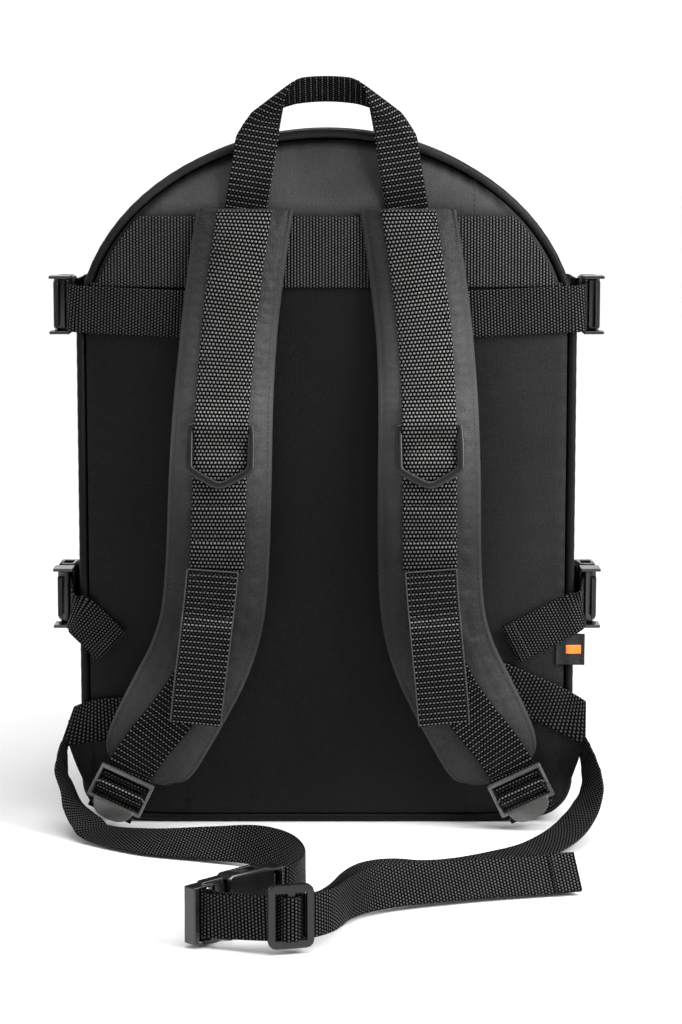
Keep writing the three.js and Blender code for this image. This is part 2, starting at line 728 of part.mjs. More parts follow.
function dRing() {
  const basis = ringBasis();
  const right = RING_PATH;
  const left = RING_PATH.slice(0, -1).map((p) => ({ across: -p.across, down: p.down })).reverse();
  const path = [...right, ...left];
  const sides = 8;
  const rings = path.map((p, i) => {
    const before = path[(i + path.length - 1) % path.length];
    const after = path[(i + 1) % path.length];
    const run = new THREE.Vector2(after.across - before.across, after.down - before.down).normalize();
    const centre = basis.pivot.clone()
      .addScaledVector(basis.across, p.across)
      .addScaledVector(basis.down, p.down);
    const side = basis.across.clone().multiplyScalar(run.y).addScaledVector(basis.down, -run.x);
    const ring = [];
    for (let k = 0; k < sides; k += 1) {
      const angle = ((k + 0.5) * 2 * Math.PI) / sides;
      ring.push(centre.clone()
        .addScaledVector(side, RING.wire * Math.cos(angle))
        .addScaledVector(basis.out, RING.wire * Math.sin(angle)));
    }
    return ring;
  });
  return loft(rings, true);
}

// Stations of a strip that lies flat in front of the pad, following a line in the XZ plane
function overPad(line, half) {
  return line.map((row, i) => {
    const before = line[Math.max(i - 1, 0)];
    const after = line[Math.min(i + 1, line.length - 1)];
    const run = new THREE.Vector2(after.x - before.x, after.z - before.z).normalize();
    const faces = [-1, 0, 1].map((s) => padFaceY(row.x - s * half * run.y, row.z + s * half * run.x));
    const y = Math.min(...faces) - row.lift - WEB / 2;
    return { point: vec(row.x, y, row.z), across: vec(run.y, 0, -run.x) };
  });
}

const tab = () => ribbon(overPad(TAB_LINE, TAB.half), TAB.half, WEB);

// Frame of the ladder lock: across, down along the strap, and out of its face
const ladder = (() => {
  const down = fromArray(LADDER.down).normalize();
  const out = vec(0, -1, 0).addScaledVector(down, down.y).normalize();
  const across = down.clone().cross(out).normalize();
  if (across.x < 0) {
    across.negate();
  }
  return { centre: fromArray(LADDER.centre), down, out, across };
})();
const onLadder = (row) => ladder.centre.clone()
  .addScaledVector(ladder.down, row.down)
  .addScaledVector(ladder.out, row.out);

function lowerWebbing() {
  const laid = overPad(LOWER_LINE, ADJUST.half);
  const threaded = LADDER_TOP_WEB.map((row) => ({ point: onLadder(row), across: ladder.across.clone() }));
  laid.forEach((station) => {
    if (station.across.dot(ladder.across) < 0) {
      station.across.negate();
    }
  });
  return ribbon([...laid, ...threaded], ADJUST.half, WEB);
}

// Lower strap from the bag's corner, up behind the ladder lock, over its bar and down to a short end
function adjustStrap() {
  const stations = LADDER_THREAD.map((row) => ({ point: onLadder(row), across: ladder.across.clone() }));
  const anchor = vec(ADJUST_ANCHOR.x, ADJUST_ANCHOR.y, ADJUST_ANCHOR.z);
  stations.push({ point: anchor, across: ladder.across.clone() });
  return ribbon(stations, ADJUST.half, WEB);
}

// Move a piece from its own axes into a frame
function layInFrame(geometry, frame) {
  const right = frame.right.clone().normalize();
  const out = frame.out.clone().normalize();
  const up = out.clone().cross(right);
  geometry.applyMatrix4(new THREE.Matrix4().makeBasis(right, up, out).setPosition(frame.centre));
  return geometry;
}

// Flat moulding: an outline with slots, given its thickness and laid in a frame
function moulding(shape, thick, frame) {
  const geometry = new THREE.ExtrudeGeometry(shape, { depth: thick, bevelEnabled: false, curveSegments: 4 });
  geometry.translate(0, 0, -thick / 2);
  return layInFrame(geometry, frame);
}

function slotHole(x0, x1, y0, y1) {
  const hole = new THREE.Path();
  hole.moveTo(x0, y0);
  hole.lineTo(x0, y1);
  hole.lineTo(x1, y1);
  hole.lineTo(x1, y0);
  return hole;
}

// Ladder lock plate: x across, y down the strap, with a half-round grip
function ladderLock() {
  const half = LADDER.half;
  const shape = new THREE.Shape();
  shape.moveTo(-half + 2, LADDER.top);
  shape.lineTo(half - 2, LADDER.top);
  shape.lineTo(half, LADDER.top + 2);
  shape.lineTo(half, LADDER.gripTop + 2);
  shape.absellipse(0, LADDER.gripTop + 2, half, LADDER.gripEnd - LADDER.gripTop - 2, 0, Math.PI, false);
  shape.lineTo(-half, LADDER.top + 2);
  const inner = ADJUST.half + 0.8;
  shape.holes.push(slotHole(-inner, inner, LADDER.slotOneTop, LADDER.midTop));
  shape.holes.push(slotHole(-inner, inner, LADDER.slotTwoTop, LADDER.gripTop));
  const right = ladder.down.clone().cross(ladder.out);
  return moulding(shape, LADDER.thick, { centre: ladder.centre, right, out: ladder.out });
}

// Wing cloth and hip webbing lie on the panel and run past the side of the body to the wing's tip
const wingSkin = (x, z) => Math.min(panelFace(x, Math.max(z, 8)) - WING_LIFT, WING_BACK);
const webLine = (wing, x) => wing.tipZ + (wing.tip - x) * wing.slope;

function cornerWing(wing) {
  const grid = wing.columns.map(({ x, low }) => [0, 0.5, 1].map((t) => (
    { x: wing.side * x, z: THREE.MathUtils.lerp(low, webLine(wing, x), t) }
  )));
  return patch(grid, wingSkin, WEB);
}

function hipWebbing(wing) {
  const steps = 6;
  const rise = BELT.half / Math.hypot(1, wing.slope);
  const lean = rise * wing.slope;
  const grid = [];
  for (let i = 0; i <= steps; i += 1) {
    const x = THREE.MathUtils.lerp(wing.webStart, wing.tip, i / steps);
    const z = webLine(wing, x);
    grid.push([-1, 0, 1].map((t) => ({ x: wing.side * (x + t * lean), z: z + t * rise })));
  }
  return patch(grid, (x, z) => wingSkin(x, z) - WEB - GAP, WEB);
}

// Shape that is the same on both sides of its x axis, from the points of its upper side
function mirroredShape(upper) {
  const lower = upper.map(([x, y]) => [x, -y]);
  const round = [...lower, ...upper.slice().reverse()];
  return new THREE.Shape(round.map(([x, y]) => new THREE.Vector2(x, y)));
}

// Side-release buckle in its own frame: x along the webbing from the tongue's bar, y across
function tongueShape(web, length) {
  const k = length / 52;
  const edge = web + 4.5;
  const upper = [
    [0, edge - 2], [2 * k, edge], [14 * k, edge], [15.2 * k, web - 1],
    [24 * k, web - 1.5], [28 * k, web + 3.4], [33 * k, web + 3.4], [42 * k, web - 4],
    [40 * k, web - 6.5], [24 * k, web - 6], [17 * k, web - 6.5],
    [15.5 * k, web - 9], [15.5 * k, 3], [32 * k, 2.4],
  ];
  const shape = mirroredShape(upper);
  shape.holes.push(slotHole(4.5, 10.5, -web - 0.8, web + 0.8));
  return shape;
}

function buckleTongue(web, length, frame) {
  return moulding(tongueShape(web, length), 6, frame);
}

function block(x0, x1, y0, y1, z0, z1) {
  const geometry = new THREE.BoxGeometry(x1 - x0, y1 - y0, z1 - z0);
  geometry.translate((x0 + x1) / 2, (y0 + y1) / 2, (z0 + z1) / 2);
  return manifoldOf(geometry);
}

function buckleSocket(web, length, frame) {
  const k = length / 52;
  const edge = web + 5;
  const upper = [
    [15.6 * k, edge - 2], [18 * k, edge], [40 * k, edge], [46 * k, edge - 2], [length, edge - 2],
  ];
  const plan = mirroredShape(upper);
  const edging = { bevelEnabled: true, bevelThickness: 1, bevelSize: 1, bevelOffset: -1, bevelSegments: 1 };
  const body = new THREE.ExtrudeGeometry(plan, { depth: 11, ...edging });
  body.translate(0, 0, -5.5);
  const mouth = block(10 * k, 43 * k, -web - 1.4, web + 1.4, -3.6, 3.6);
  const window = block(23.3 * k, 36.5 * k, -edge - 4, edge + 4, -3.6, 3.6);
  const slot = block(length - 8.6, length - 3.6, -web - 0.8, web + 0.8, -20, 20);
  const cut = manifoldOf(body).subtract(mouth).subtract(window).subtract(slot);
  return layInFrame(geometryOf(cut), frame);
}

// Compression strap from its sewn end on the panel, round the piped edge, through the tongue and back
function rearStrap(strap) {
  const bar = SIDE.buckleX;
  const y = SIDE.buckleY;
  const lift = GAP + WEB + GAP + WEB / 2;
  const onPanel = (x, z) => ({ x, y: panelFace(x, z) - lift, z });
  const run = (x) => THREE.MathUtils.lerp(strap.startZ, strap.edgeZ, (x - strap.start) / (168 - strap.start));
  const inner = [0, 0.33, 0.66].map((t) => THREE.MathUtils.lerp(strap.start, 158, t));
  const rows = [
    ...inner.map((x) => onPanel(x, run(x))),
    { x: 164, y: -100, z: run(164) },
    { x: 174, y: -99.4, z: strap.edgeZ },
    { x: 179.5, y: -96.4, z: strap.edgeZ + 1 },
    { x: 181, y: -90, z: strap.buckleZ },
    { x: bar - 4.2, y: y + 1.5, z: strap.buckleZ },
    { x: bar - 3.8, y: y + 6, z: strap.buckleZ },
    { x: bar - 1.6, y: y + 7.6, z: strap.buckleZ },
    { x: bar + 2, y: y + 7.3, z: strap.buckleZ },
    { x: bar + 4.2, y: y + 5, z: strap.buckleZ },
    { x: bar + 4.2, y: y - 0.6, z: strap.buckleZ },
    { x: bar + 1.5, y: y - 7, z: strap.buckleZ },
  ];
  return ribbon(rows.map((r) => ({ point: vec(r.x, r.y, r.z), across: vec(0, 0, 1) })), SIDE.half, WEB);
}

// The same webbing from the socket's bar forward along the side to the front seam
function frontStrap(strap) {
  const bar = SIDE.buckleX;
  const end = SIDE.buckleY + SIDE.buckleLength;
  const wall = (y) => BODY.halfWidth - gussetInset(y) + GAP + WEB / 2 + 0.3;
  const rows = [
    { x: bar + 7.8, y: end - 11 },
    { x: bar + 7.8, y: end - 8 },
    { x: bar + 4, y: end - 6.1 },
    { x: bar - 6.4, y: end - 6.1 },
    { x: bar - 7.8, y: end - 3.8 },
    { x: Math.max(wall(end + 8), bar - 7.8), y: end + 8 },
    { x: wall(0), y: 0 },
    { x: wall(22) + 1.6, y: 22 },
    { x: wall(36) + 1.6, y: 36 },
    { x: wall(52), y: 52 },
    { x: wall(71), y: 71 },
  ];
  const stations = rows.map((r) => ({ point: vec(r.x, r.y, strap.buckleZ), across: vec(0, 0, 1) }));
  return ribbon(stations, SIDE.half, WEB);
}

const sideFrame = (strap) => ({
  centre: vec(SIDE.buckleX, SIDE.buckleY, strap.buckleZ),
  right: vec(0, 1, 0),
  out: vec(1, 0, 0),
});

function sideTag() {
  const grid = [TAG.inner, TAG.outer].map((x) => [TAG.low, TAG.high].map((z) => ({ x, z })));
  return patch(grid, () => TAG.back, TAG.thick);
}

// A flat frame standing on the floor, facing the camera side
function standingFrame(spot) {
  const right = fromArray(spot.along).normalize();
  const out = right.clone().cross(vec(0, 0, 1));
  return { centre: fromArray(spot.centre), right, out };
}
const sliderFrame = standingFrame(SLIDER);
const waistFrame = standingFrame(WAIST_BUCKLE);

function standingRoute(frame, rows) {
  return rows.map((row) => {
    const p = frame.centre.clone()
      .addScaledVector(frame.right, row.along)
      .addScaledVector(frame.out, row.out);
    return { x: p.x, y: p.y, z: p.z, wx: 0, wy: 0, wz: 1 };
  });
}

function beltLeft() {
  const length = BELT.buckleLength;
  const entry = [
    { along: length + 6, out: -6.4 },
    { along: length - 1, out: -8.2 },
    { along: length - 4.2, out: -7.9 },
    { along: length - 6.1, out: -6.2 },
    { along: length - 6.1, out: 4.5 },
  ];
  return ribbon(routeStations([...BELT_LEFT, ...standingRoute(waistFrame, entry)]), BELT.half, WEB);
}

function beltRight() {
  const behind = standingRoute(sliderFrame, SLIDER_BEHIND);
  const entry = standingRoute(waistFrame, SLOT_ENTRY);
  return ribbon(routeStations([...BELT_RIGHT, ...behind, ...entry]), BELT.half, WEB);
}

function beltTail() {
  const wrap = standingRoute(waistFrame, BAR_WRAP);
  const weave = standingRoute(sliderFrame, SLIDER_WEAVE);
  return ribbon(routeStations([...wrap, ...weave, ...BELT_TAIL]), BELT.half, WEB);
}

// Three-bar slider: x along the belt, y up
function beltSlider() {
  const { reach, half, bar, mid, thick } = SLIDER;
  const round = 5;
  const points = [];
  for (let step = 0; step < 16; step += 1) {
    const corner = Math.floor(step / 4);
    const angle = (corner * Math.PI) / 2 + ((step % 4) * Math.PI) / 6;
    const x = (corner === 0 || corner === 3 ? 1 : -1) * (reach - round);
    const y = (corner < 2 ? 1 : -1) * (half - round);
    points.push(new THREE.Vector2(x + round * Math.cos(angle), y + round * Math.sin(angle)));
  }
  const shape = new THREE.Shape(points);
  const inner = BELT.half + 1;
  shape.holes.push(slotHole(-reach + bar, -mid, -inner, inner));
  const loose = inner + 0.2;
  shape.holes.push(slotHole(mid, reach - bar, -loose, loose));
  return moulding(shape, thick, sliderFrame);
}

const FINISH = {
  cloth: { color: 0x1c1c1e, roughness: 0.7, metalness: 0 },
  webbing: { color: 0x151516, roughness: 0.85, metalness: 0 },
  glossPlastic: { color: 0x0c0c0d, roughness: 0.3, metalness: 0 },
  mattePlastic: { color: 0x2b2c2e, roughness: 0.5, metalness: 0 },
};

const backpack = new THREE.Group();
backpack.name = "backpack";

function add(parent, name, geometry, finish) {
  const mesh = new THREE.Mesh(geometry, new THREE.MeshStandardMaterial(FINISH[finish]));
  mesh.name = name;
  parent.add(mesh);
}

add(backpack, "back_panel", backPanel(), "cloth");
add(backpack, "panel_piping", piping(), "cloth");
add(backpack, "gusset", gusset(), "cloth");
add(backpack, "zip", zip(), "webbing");
add(backpack, "zip_slider", zipSlider(), "mattePlastic");
add(backpack, "front_panel", frontPanel(), "cloth");
add(backpack, "top_band", topBand(), "webbing");
add(backpack, "grab_handle", handle(), "webbing");

// Each side is modelled on +X, and the left one is its mirror image
for (const [side, mirror] of [["left", -1], ["right", 1]]) {
  const half = new THREE.Group();
  half.scale.x = mirror;
  backpack.add(half);
  add(half, `shoulder_pad_${side}`, pad(), "cloth");
  add(half, `strap_webbing_${side}`, strapWebbing(), "webbing");
  add(half, `strap_tab_${side}`, tab(), "webbing");
  add(half, `lower_webbing_${side}`, lowerWebbing(), "webbing");
  add(half, `adjust_strap_${side}`, adjustStrap(), "webbing");
  add(half, `ladder_lock_${side}`, ladderLock(), "mattePlastic");
  add(half, `d_ring_${side}`, dRing(), "mattePlastic");
  for (const [level, strap] of [["upper", UPPER_STRAP], ["lower", LOWER_STRAP]]) {
    const tongue = buckleTongue(SIDE.half, SIDE.buckleLength, sideFrame(strap));
    const socket = buckleSocket(SIDE.half, SIDE.buckleLength, sideFrame(strap));
    add(half, `${level}_strap_${side}`, rearStrap(strap), "webbing");
    add(half, `${level}_front_strap_${side}`, frontStrap(strap), "webbing");
    add(half, `${level}_tongue_${side}`, tongue, "glossPlastic");
    add(half, `${level}_socket_${side}`, socket, "glossPlastic");
  }
  add(backpack, `corner_wing_${side}`, cornerWing(WINGS[side]), "cloth");
  add(backpack, `hip_webbing_${side}`, hipWebbing(WINGS[side]), "webbing");
}

add(backpack, "side_tag", sideTag(), "webbing");
add(backpack, "belt_left", beltLeft(), "webbing");
add(backpack, "belt_right", beltRight(), "webbing");
add(backpack, "belt_tail", beltTail(), "webbing");
add(backpack, "belt_slider", beltSlider(), "mattePlastic");
add(backpack, "waist_tongue", buckleTongue(BELT.half, BELT.buckleLength, waistFrame), "glossPlastic");
add(backpack, "waist_socket", buckleSocket(BELT.half, BELT.buckleLength, waistFrame), "glossPlastic");

export default backpack;
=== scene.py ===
"""Cloth, webbing, padding and buckles of a sports backpack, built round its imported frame."""

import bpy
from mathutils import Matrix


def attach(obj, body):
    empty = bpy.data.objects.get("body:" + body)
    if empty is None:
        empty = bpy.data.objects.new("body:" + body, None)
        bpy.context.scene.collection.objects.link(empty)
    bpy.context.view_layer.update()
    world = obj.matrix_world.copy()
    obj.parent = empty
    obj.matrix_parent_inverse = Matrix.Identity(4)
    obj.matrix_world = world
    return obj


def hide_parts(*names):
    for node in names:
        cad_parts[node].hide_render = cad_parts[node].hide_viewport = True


bl_info = {
    "name": "Sports backpack",
    "version": (1, 0, 0),
    "blender": (4, 5, 0),
    "location": "View3D > Sidebar > Backpack",
    "description": "Builds the cloth, webbing, padding and buckles of a sports backpack round its frame",
    "category": "Add Mesh",
}

import math

import bmesh
import bpy
import numpy as np

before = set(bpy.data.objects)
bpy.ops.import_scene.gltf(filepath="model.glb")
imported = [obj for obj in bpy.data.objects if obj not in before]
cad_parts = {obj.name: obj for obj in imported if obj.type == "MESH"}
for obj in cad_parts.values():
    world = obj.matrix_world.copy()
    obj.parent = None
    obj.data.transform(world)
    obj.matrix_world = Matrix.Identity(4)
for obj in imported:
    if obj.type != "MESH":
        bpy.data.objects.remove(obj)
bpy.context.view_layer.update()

# Sizes shared with the frame, in metres
HALF_WIDTH = 0.175
STRAIGHT_TOP = 0.348
ARCH_RISE = 0.143
CORNER = 0.024
BACK_Y = -0.095
PANEL_INNER = -0.0872
WALL = 0.002
LIFT_START = 0.1
LIFT_END = 0.175
CORNER_LIFT = 0.007
GAP = 0.0004
WEB = 0.0016
THREAD_OFF = 0.0001

# Points of a ring round the body; the back panel's middle, rings and calm edge, and the puckers of its seam
RING_COUNT = 520
PANEL_MIDDLE = np.array((0.0, 0.22))
PANEL_RINGS = 90
PANEL_EDGE = 0.012
PUCKERS = 110
PUCKER_REACH = 0.008
# Pleats at the panel's foot: places across, top, and depth and width of the fold and of the swell beside it
PLEATS = (-0.1005, 0.1)
PLEAT_TOP = 0.034
PLEAT_FOLD = (0.0014, 0.0012)
PLEAT_SWELL = (0.0007, 0.003)
# Darts above the band: place across, low and high end
DARTS = ((0.1025, 0.4335, 0.458), (-0.115, 0.4335, 0.445))
# Seams along the side wall: depth
WALL_SEAMS = (-0.0855, 0.0695)
# Painted light on the back, as a share of its paler colour: above its band and at its right
TOP_PAINTED_LIGHT = 1.25
RIGHT_PAINTED_LIGHT = 0.25

# Padded back: distance from the outline, and how far the cloth stands out there
CROWN = ((0.007, 0.0006), (0.010, 0.00135), (0.014, 0.0020), (0.020, 0.0026),
         (0.028, 0.0032), (0.040, 0.0039), (0.060, 0.00455), (0.080, 0.0050))
# Side wall: depth, and distance inside the outline
GUSSET = ((-0.0894, 0.002), (-0.06, -0.0008), (-0.01, -0.0025), (0.04, 0.0), (0.074, 0.006))
# Domed front: distance from the outline, and depth
FRONT = ((0.006, 0.0744), (0.0066, 0.0785), (0.0085, 0.083), (0.012, 0.0876), (0.017, 0.091),
         (0.025, 0.0942), (0.036, 0.0965), (0.052, 0.0983), (0.072, 0.099))
PIPING_RADIUS = 0.003
PIPING_STITCHES = 130
PIPING_Y = -0.093
ZIP_LOW = 0.1204
ZIP_NEAR = 0.0174
ZIP_FAR = 0.0406
ZIP_SUNK = 0.0024
# Raised lip beside the zip's channel: height, distance out of it, width
ZIP_LIP = (0.0005, 0.002, 0.0015)
# Extra rows of the wall at the zip's channel: distance out of it
ZIP_ROWS = np.array((-0.0012, -0.0002, 0.0005, 0.0012, 0.0022))
ZIP_STATIONS = 640
ZIP_TAPE_FACES = (-0.0006, -0.0016)
ZIP_SLIDER_EDGE = 0.0006
# Teeth: number, half length, long and short reach from the middle, low and high face
TEETH = 1130
TOOTH_HALF = 0.00036
TOOTH_REACH = (0.0026, 0.0011)
TOOTH_FACES = (-0.0007, 0.0011)

# Shoulder pad centre line: height, place across, distance of its back from the panel, half width, crown
PAD = (
    (0.436, 0.0563, 0.0028, 0.033, 0.005),
    (0.415, 0.0595, 0.0034, 0.0332, 0.0085),
    (0.385, 0.0636, 0.006, 0.0333, 0.0105),
    (0.354, 0.0673, 0.0095, 0.0334, 0.0105),
    (0.322, 0.0695, 0.014, 0.034, 0.0105),
    (0.29, 0.0706, 0.019, 0.0348, 0.0105),
    (0.25, 0.071, 0.0245, 0.0356, 0.0105),
    (0.205, 0.0712, 0.028, 0.0358, 0.0105),
    (0.17, 0.0726, 0.0285, 0.036, 0.0105),
    (0.146, 0.076, 0.0275, 0.036, 0.0105),
    (0.121, 0.084, 0.025, 0.036, 0.0105),
    (0.097, 0.0955, 0.021, 0.036, 0.0105),
    (0.074, 0.107, 0.017, 0.0355, 0.01),
    (0.056, 0.1155, 0.0135, 0.034, 0.009),
    (0.046, 0.12, 0.012, 0.03, 0.0075),
    (0.04, 0.1225, 0.0115, 0.022, 0.005),
)
PAD_BACK = 0.28
PUFF_FRAMES = 20
# Shares of a pad's half width: the seam, the flat middle under the webbing, and the rim
PAD_SEAM = 0.9
PAD_FLAT = 0.52
PAD_RIM = 0.93
STRAP_HALF = 0.0185
STRAP_TOP = 0.4345
STRAP_LOW = 0.1895
STRAP_SEAM = 0.0022
# Sewn rows across the strap webbing: height, and depth; and how the webbing rises below each
STRAP_TUCKS = ((0.3055, 0.0006), (0.2685, 0.0006), (0.2335, 0.0016), (0.2095, 0.0016))
TUCK_RISE = 0.0012
TUCK_LENGTH = 0.006
TUCK_WIDTH = 0.0016
RING_Z = 0.287
RING_WIRE = 0.00215
RING_LEAN = math.radians(3.2)
RING_BULGE = 0.014
RING_CLEAR = 0.0005
RING_FREE = 0.017
# Outer and inner side of the ring's section: squareness, and how much wider it grows away from the bar
RING_OUTER = (0.5, 0.42)
RING_INNER = (0.6, 0.05)
RING_PATH = (
    (0.0178, 0), (0.0199, 0.0009), (0.0208, 0.003), (0.0208, 0.0262),
    (0.02, 0.0296), (0.0165, 0.0326), (0.0045, 0.0392), (0, 0.0404),
)

# Grab handle: left foot, start of the fold at its shoulder, and how the fold turns
HANDLE_WIDTH = 0.029
HANDLE_FOOT = (-0.0565, -0.1006, 0.4324)
HANDLE_FOLD = (-0.0465, -0.1006, 0.4928)
HANDLE_RADIUS = 0.0066
HANDLE_TURN = math.radians(153.5)
HANDLE_FLAT = 0.0272
HANDLE_LEAN = 0.118
HANDLE_LEAN_Z = 0.44
HANDLE_TIP = math.radians(36)
HANDLE_TIP_Z = 0.4895
HANDLE_TIP_RADIUS = 0.012
BAND_LOW = 0.382
BAND_HIGH = 0.431
BAND_END = 0.164
BAND_TRIM = 0.009
BAND_LEAST = 0.003
BAND_OFF = 0.0006
# Stitched lines along the band: height, and half their length
BAND_SEAMS = ((BAND_LOW + 0.0025, 0.155), (BAND_HIGH - 0.0025, 0.125))
# Crease of the cloth under the band: depth, distance below it, width
BAND_CREASE = (0.0007, 0.0045, 0.0025)

# Strips in front of the pad: place across, height, distance off the pad
TAB_WIDTH = 0.035
TAB_LINE = ((0.0718, 0.19, 0.0034), (0.0731, 0.172, 0.0034), (0.0742, 0.16, 0.0036),
            (0.0749, 0.153, 0.006), (0.0757, 0.1435, 0.0074), (0.0775, 0.125, 0.0086),
            (0.079, 0.11, 0.0098), (0.0815, 0.082, 0.0106))
# Selvedge round the tab, and the box sewn at its top: upper and lower row, half width
EDGE_CORD = 0.00055
TAB_BOX = (0.003, 0.034, 0.0148)
ADJUST_WIDTH = 0.033
LOWER_LINE = ((0.08, 0.122, 0.0009), (0.091, 0.101, 0.0009), (0.104, 0.082, 0.0009), (0.117, 0.065, 0.0009))
LADDER_CENTRE = (0.138, -0.1225, 0.027)
LADDER_DOWN = (0.42, 0.2, -0.885)
# Webbing through the ladder lock: distance down from its centre and out from its plane
LADDER_TOP_WEB = ((-0.0235, -0.0026), (-0.0165, -0.0035), (-0.0132, -0.0032), (-0.0112, -0.0012),
                  (-0.0092, 0.0004), (-0.008, -0.0004), (-0.0077, -0.0026))
LADDER_THREAD = (
    (0.019, -0.0039), (0.01, -0.0034), (0.0052, -0.0031), (0.003, -0.0012), (0.0012, 0.0014),
    (-0.0008, 0.0031), (-0.0034, 0.0034), (-0.0052, 0.0026), (-0.006, 0.0008), (-0.006, -0.0022),
    (-0.0048, -0.0052), (0.004, -0.007),
)
# Ladder lock plate: edges of its columns and rows, with the two slots left open
LADDER_COLUMNS = (-0.0204, -0.018, 0.018, 0.0204)
LADDER_ROWS = (-0.0168, -0.0143, -0.0043, -0.0025, 0.0072, 0.0098)
LADDER_SLOTS = ((1, 1), (1, 3))
LADDER_HALF = 0.002
LADDER_EDGE = 0.0011
GRIP_HALF = 0.0152
GRIP_REACH = 0.0112
GRIP_TILT = 0.16
# How far the left harness hangs further out: at its foot, from a height, over a height
HARNESS_DRIFT = 0.0085
DRIFT_TOP = 0.34
DRIFT_RANGE = 0.3
TAB_SHIFT = 0.0022
RING_SHIFT = 0.002
ADJUST_ANCHOR = (0.1495, -0.1024, 0.0132)

# Corner wings by side: sign, start and tip of the webbing, height at the tip, slope, lower edge
HIP_WIDTH = 0.03
WING_BACK = -0.0966
WING_LIFT = 0.0011
WING_WALL = 0.0009
WING_DROOP = 0.035
WINGS = {
    "left": (-1, 0.112, 0.185, 0.0745, 0.06, (
        (0.128, 0.032), (0.145, 0.014), (0.16, 0.013), (0.17, 0.024), (0.178, 0.04), (0.184, 0.057))),
    "right": (1, 0.106, 0.184, 0.0755, 0.44, (
        (0.128, 0.032), (0.145, 0.014), (0.16, 0.013), (0.17, 0.022), (0.178, 0.042), (0.183, 0.058))),
}

# Slant of the hip webbing's cut end, and how far it droops there
WING_ENDS = {"left": (0.36, 0.0045), "right": (0.0, 0.003)}

# Compression straps: place across of the sewn end, its height, the heights at the edge and the buckle
SIDE_WIDTH = {"upper": 0.0325, "lower": 0.0285}
BUCKLE_SQUASH = {"upper": 0.86, "lower": 0.9}
BUCKLE_X = 0.187
BUCKLE_Y = -0.08
BUCKLE_LENGTH = 0.056
BUCKLE_HALF = 0.0225
BUCKLE_EDGE = 0.0007
SIDE_STRAPS = {
    "upper": {"left": (0.06, 0.362, 0.367, 0.369), "right": (0.06, 0.362, 0.367, 0.369)},
    "lower": {"left": (0.152, 0.129, 0.15, 0.161), "right": (0.13, 0.13, 0.1525, 0.161)},
}
# Lips of a tongue: place from the buckle's bar, columns, rows and half their thickness
LIPS_PLACE = (0.0022, 0.0002)
LIPS_COLUMNS = (-0.009, 0.0052)
LIPS_ROWS = (-0.0088, 0.0085)
LIPS_HALF = 0.0011
LIPS_EDGE = 0.0006
# Strap laid on the panel: end of its even run, last place across, and least depth
LAID_RUN = 0.158
LAID_END = 0.164
LAID_FRONT = -0.1
# Strap round the piped edge: place across, depth, and share of its climb to the buckle
EDGE_TURN = ((0.174, -0.0994, 0.0), (0.1795, -0.0964, 0.35), (0.181, -0.09, 0.8))
# Strap through the tongue: distance from its bar across and in depth
TONGUE_TURN = ((-0.0042, 0.0015), (-0.0038, 0.006), (-0.0016, 0.0076), (0.002, 0.0073), (0.0042, 0.005),
               (0.0042, -0.0006), (0.0015, -0.007))
# Strap through the socket: distance from its bar across, and from its end in depth
SOCKET_TURN = ((0.0078, -0.011), (0.0078, -0.008), (0.004, -0.0061), (-0.0064, -0.0061), (-0.0078, -0.0038))
# Strap along the side wall: depth, and distance off the wall
WALL_RUN = ((0.0, 0.0), (0.022, 0.0016), (0.036, 0.0016), (0.052, 0.0), (0.071, 0.0))
# Side tag: inner and outer edge, low and high edge, depth; and the part of its grid that the bar covers
TAG = (0.162, 0.1825, 0.115, 0.1375, -0.0978)
TAG_BAR = np.s_[8:21, 9:17]

# Waist belt routes: place of the centre line, and the direction of its upper edge
BELT_WIDTH = 0.027
BELT_LEFT = (
    (-0.1855, -0.1, 0.06, 0.1, 1, 0),
    (-0.1868, -0.103, 0.0545, 0.13, 1, 0),
    (-0.1874, -0.1075, 0.047, 0.15, 1, 0),
    (-0.1868, -0.113, 0.039, 0.15, 1, 0.02),
    (-0.182, -0.12, 0.0285, 0.12, 1, 0.05),
    (-0.1765, -0.1275, 0.0185, 0.25, 0.95, 0.1),
    (-0.168, -0.1365, 0.0105, 0.45, 0.85, 0.12),
    (-0.157, -0.15, 0.006, 0.5, 0.83, 0.16),
    (-0.121, -0.178, 0.0078, 0.35, 0.82, 0.42),
    (-0.079, -0.196, 0.0114, 0.25, 0.72, 0.65),
    (-0.048, -0.213, 0.0145, 0.25, 0.4, 0.88),
    (-0.025, -0.242, 0.0162, 0.1, 0.1, 1),
    (-0.014, -0.278, 0.017, 0, 0, 1),
    (-0.0155, -0.312, 0.0186, 0, 0, 1),
    (-0.0225, -0.336, 0.0204, 0, 0, 1),
)
BELT_RIGHT = (
    (0.1815, -0.1, 0.059, -0.2, 1, 0),
    (0.1832, -0.1035, 0.0535, -0.26, 0.97, 0),
    (0.1852, -0.109, 0.0455, -0.3, 0.95, 0),
    (0.1862, -0.117, 0.0365, -0.3, 0.95, 0),
    (0.184, -0.128, 0.0275, -0.3, 0.95, 0.05),
    (0.1765, -0.146, 0.018, -0.34, 0.93, 0.1),
    (0.163, -0.17, 0.0105, -0.45, 0.87, 0.13),
    (0.142, -0.197, 0.0065, -0.5, 0.84, 0.15),
    (0.117, -0.222, 0.0055, -0.48, 0.82, 0.26),
    (0.093, -0.245, 0.0068, -0.42, 0.8, 0.3),
    (0.069, -0.264, 0.0083, -0.35, 0.75, 0.45),
    (0.047, -0.284, 0.0118, -0.2, 0.6, 0.72),
    (0.029, -0.304, 0.0145, -0.1, 0.35, 0.9),
    (0.017, -0.325, 0.0167, 0, 0.1, 1),
    (0.01, -0.35, 0.019, 0, 0, 1),
    (0.0055, -0.374, 0.021, 0, 0, 1),
    (0.0005, -0.3915, 0.022, 0, 0, 1),
)
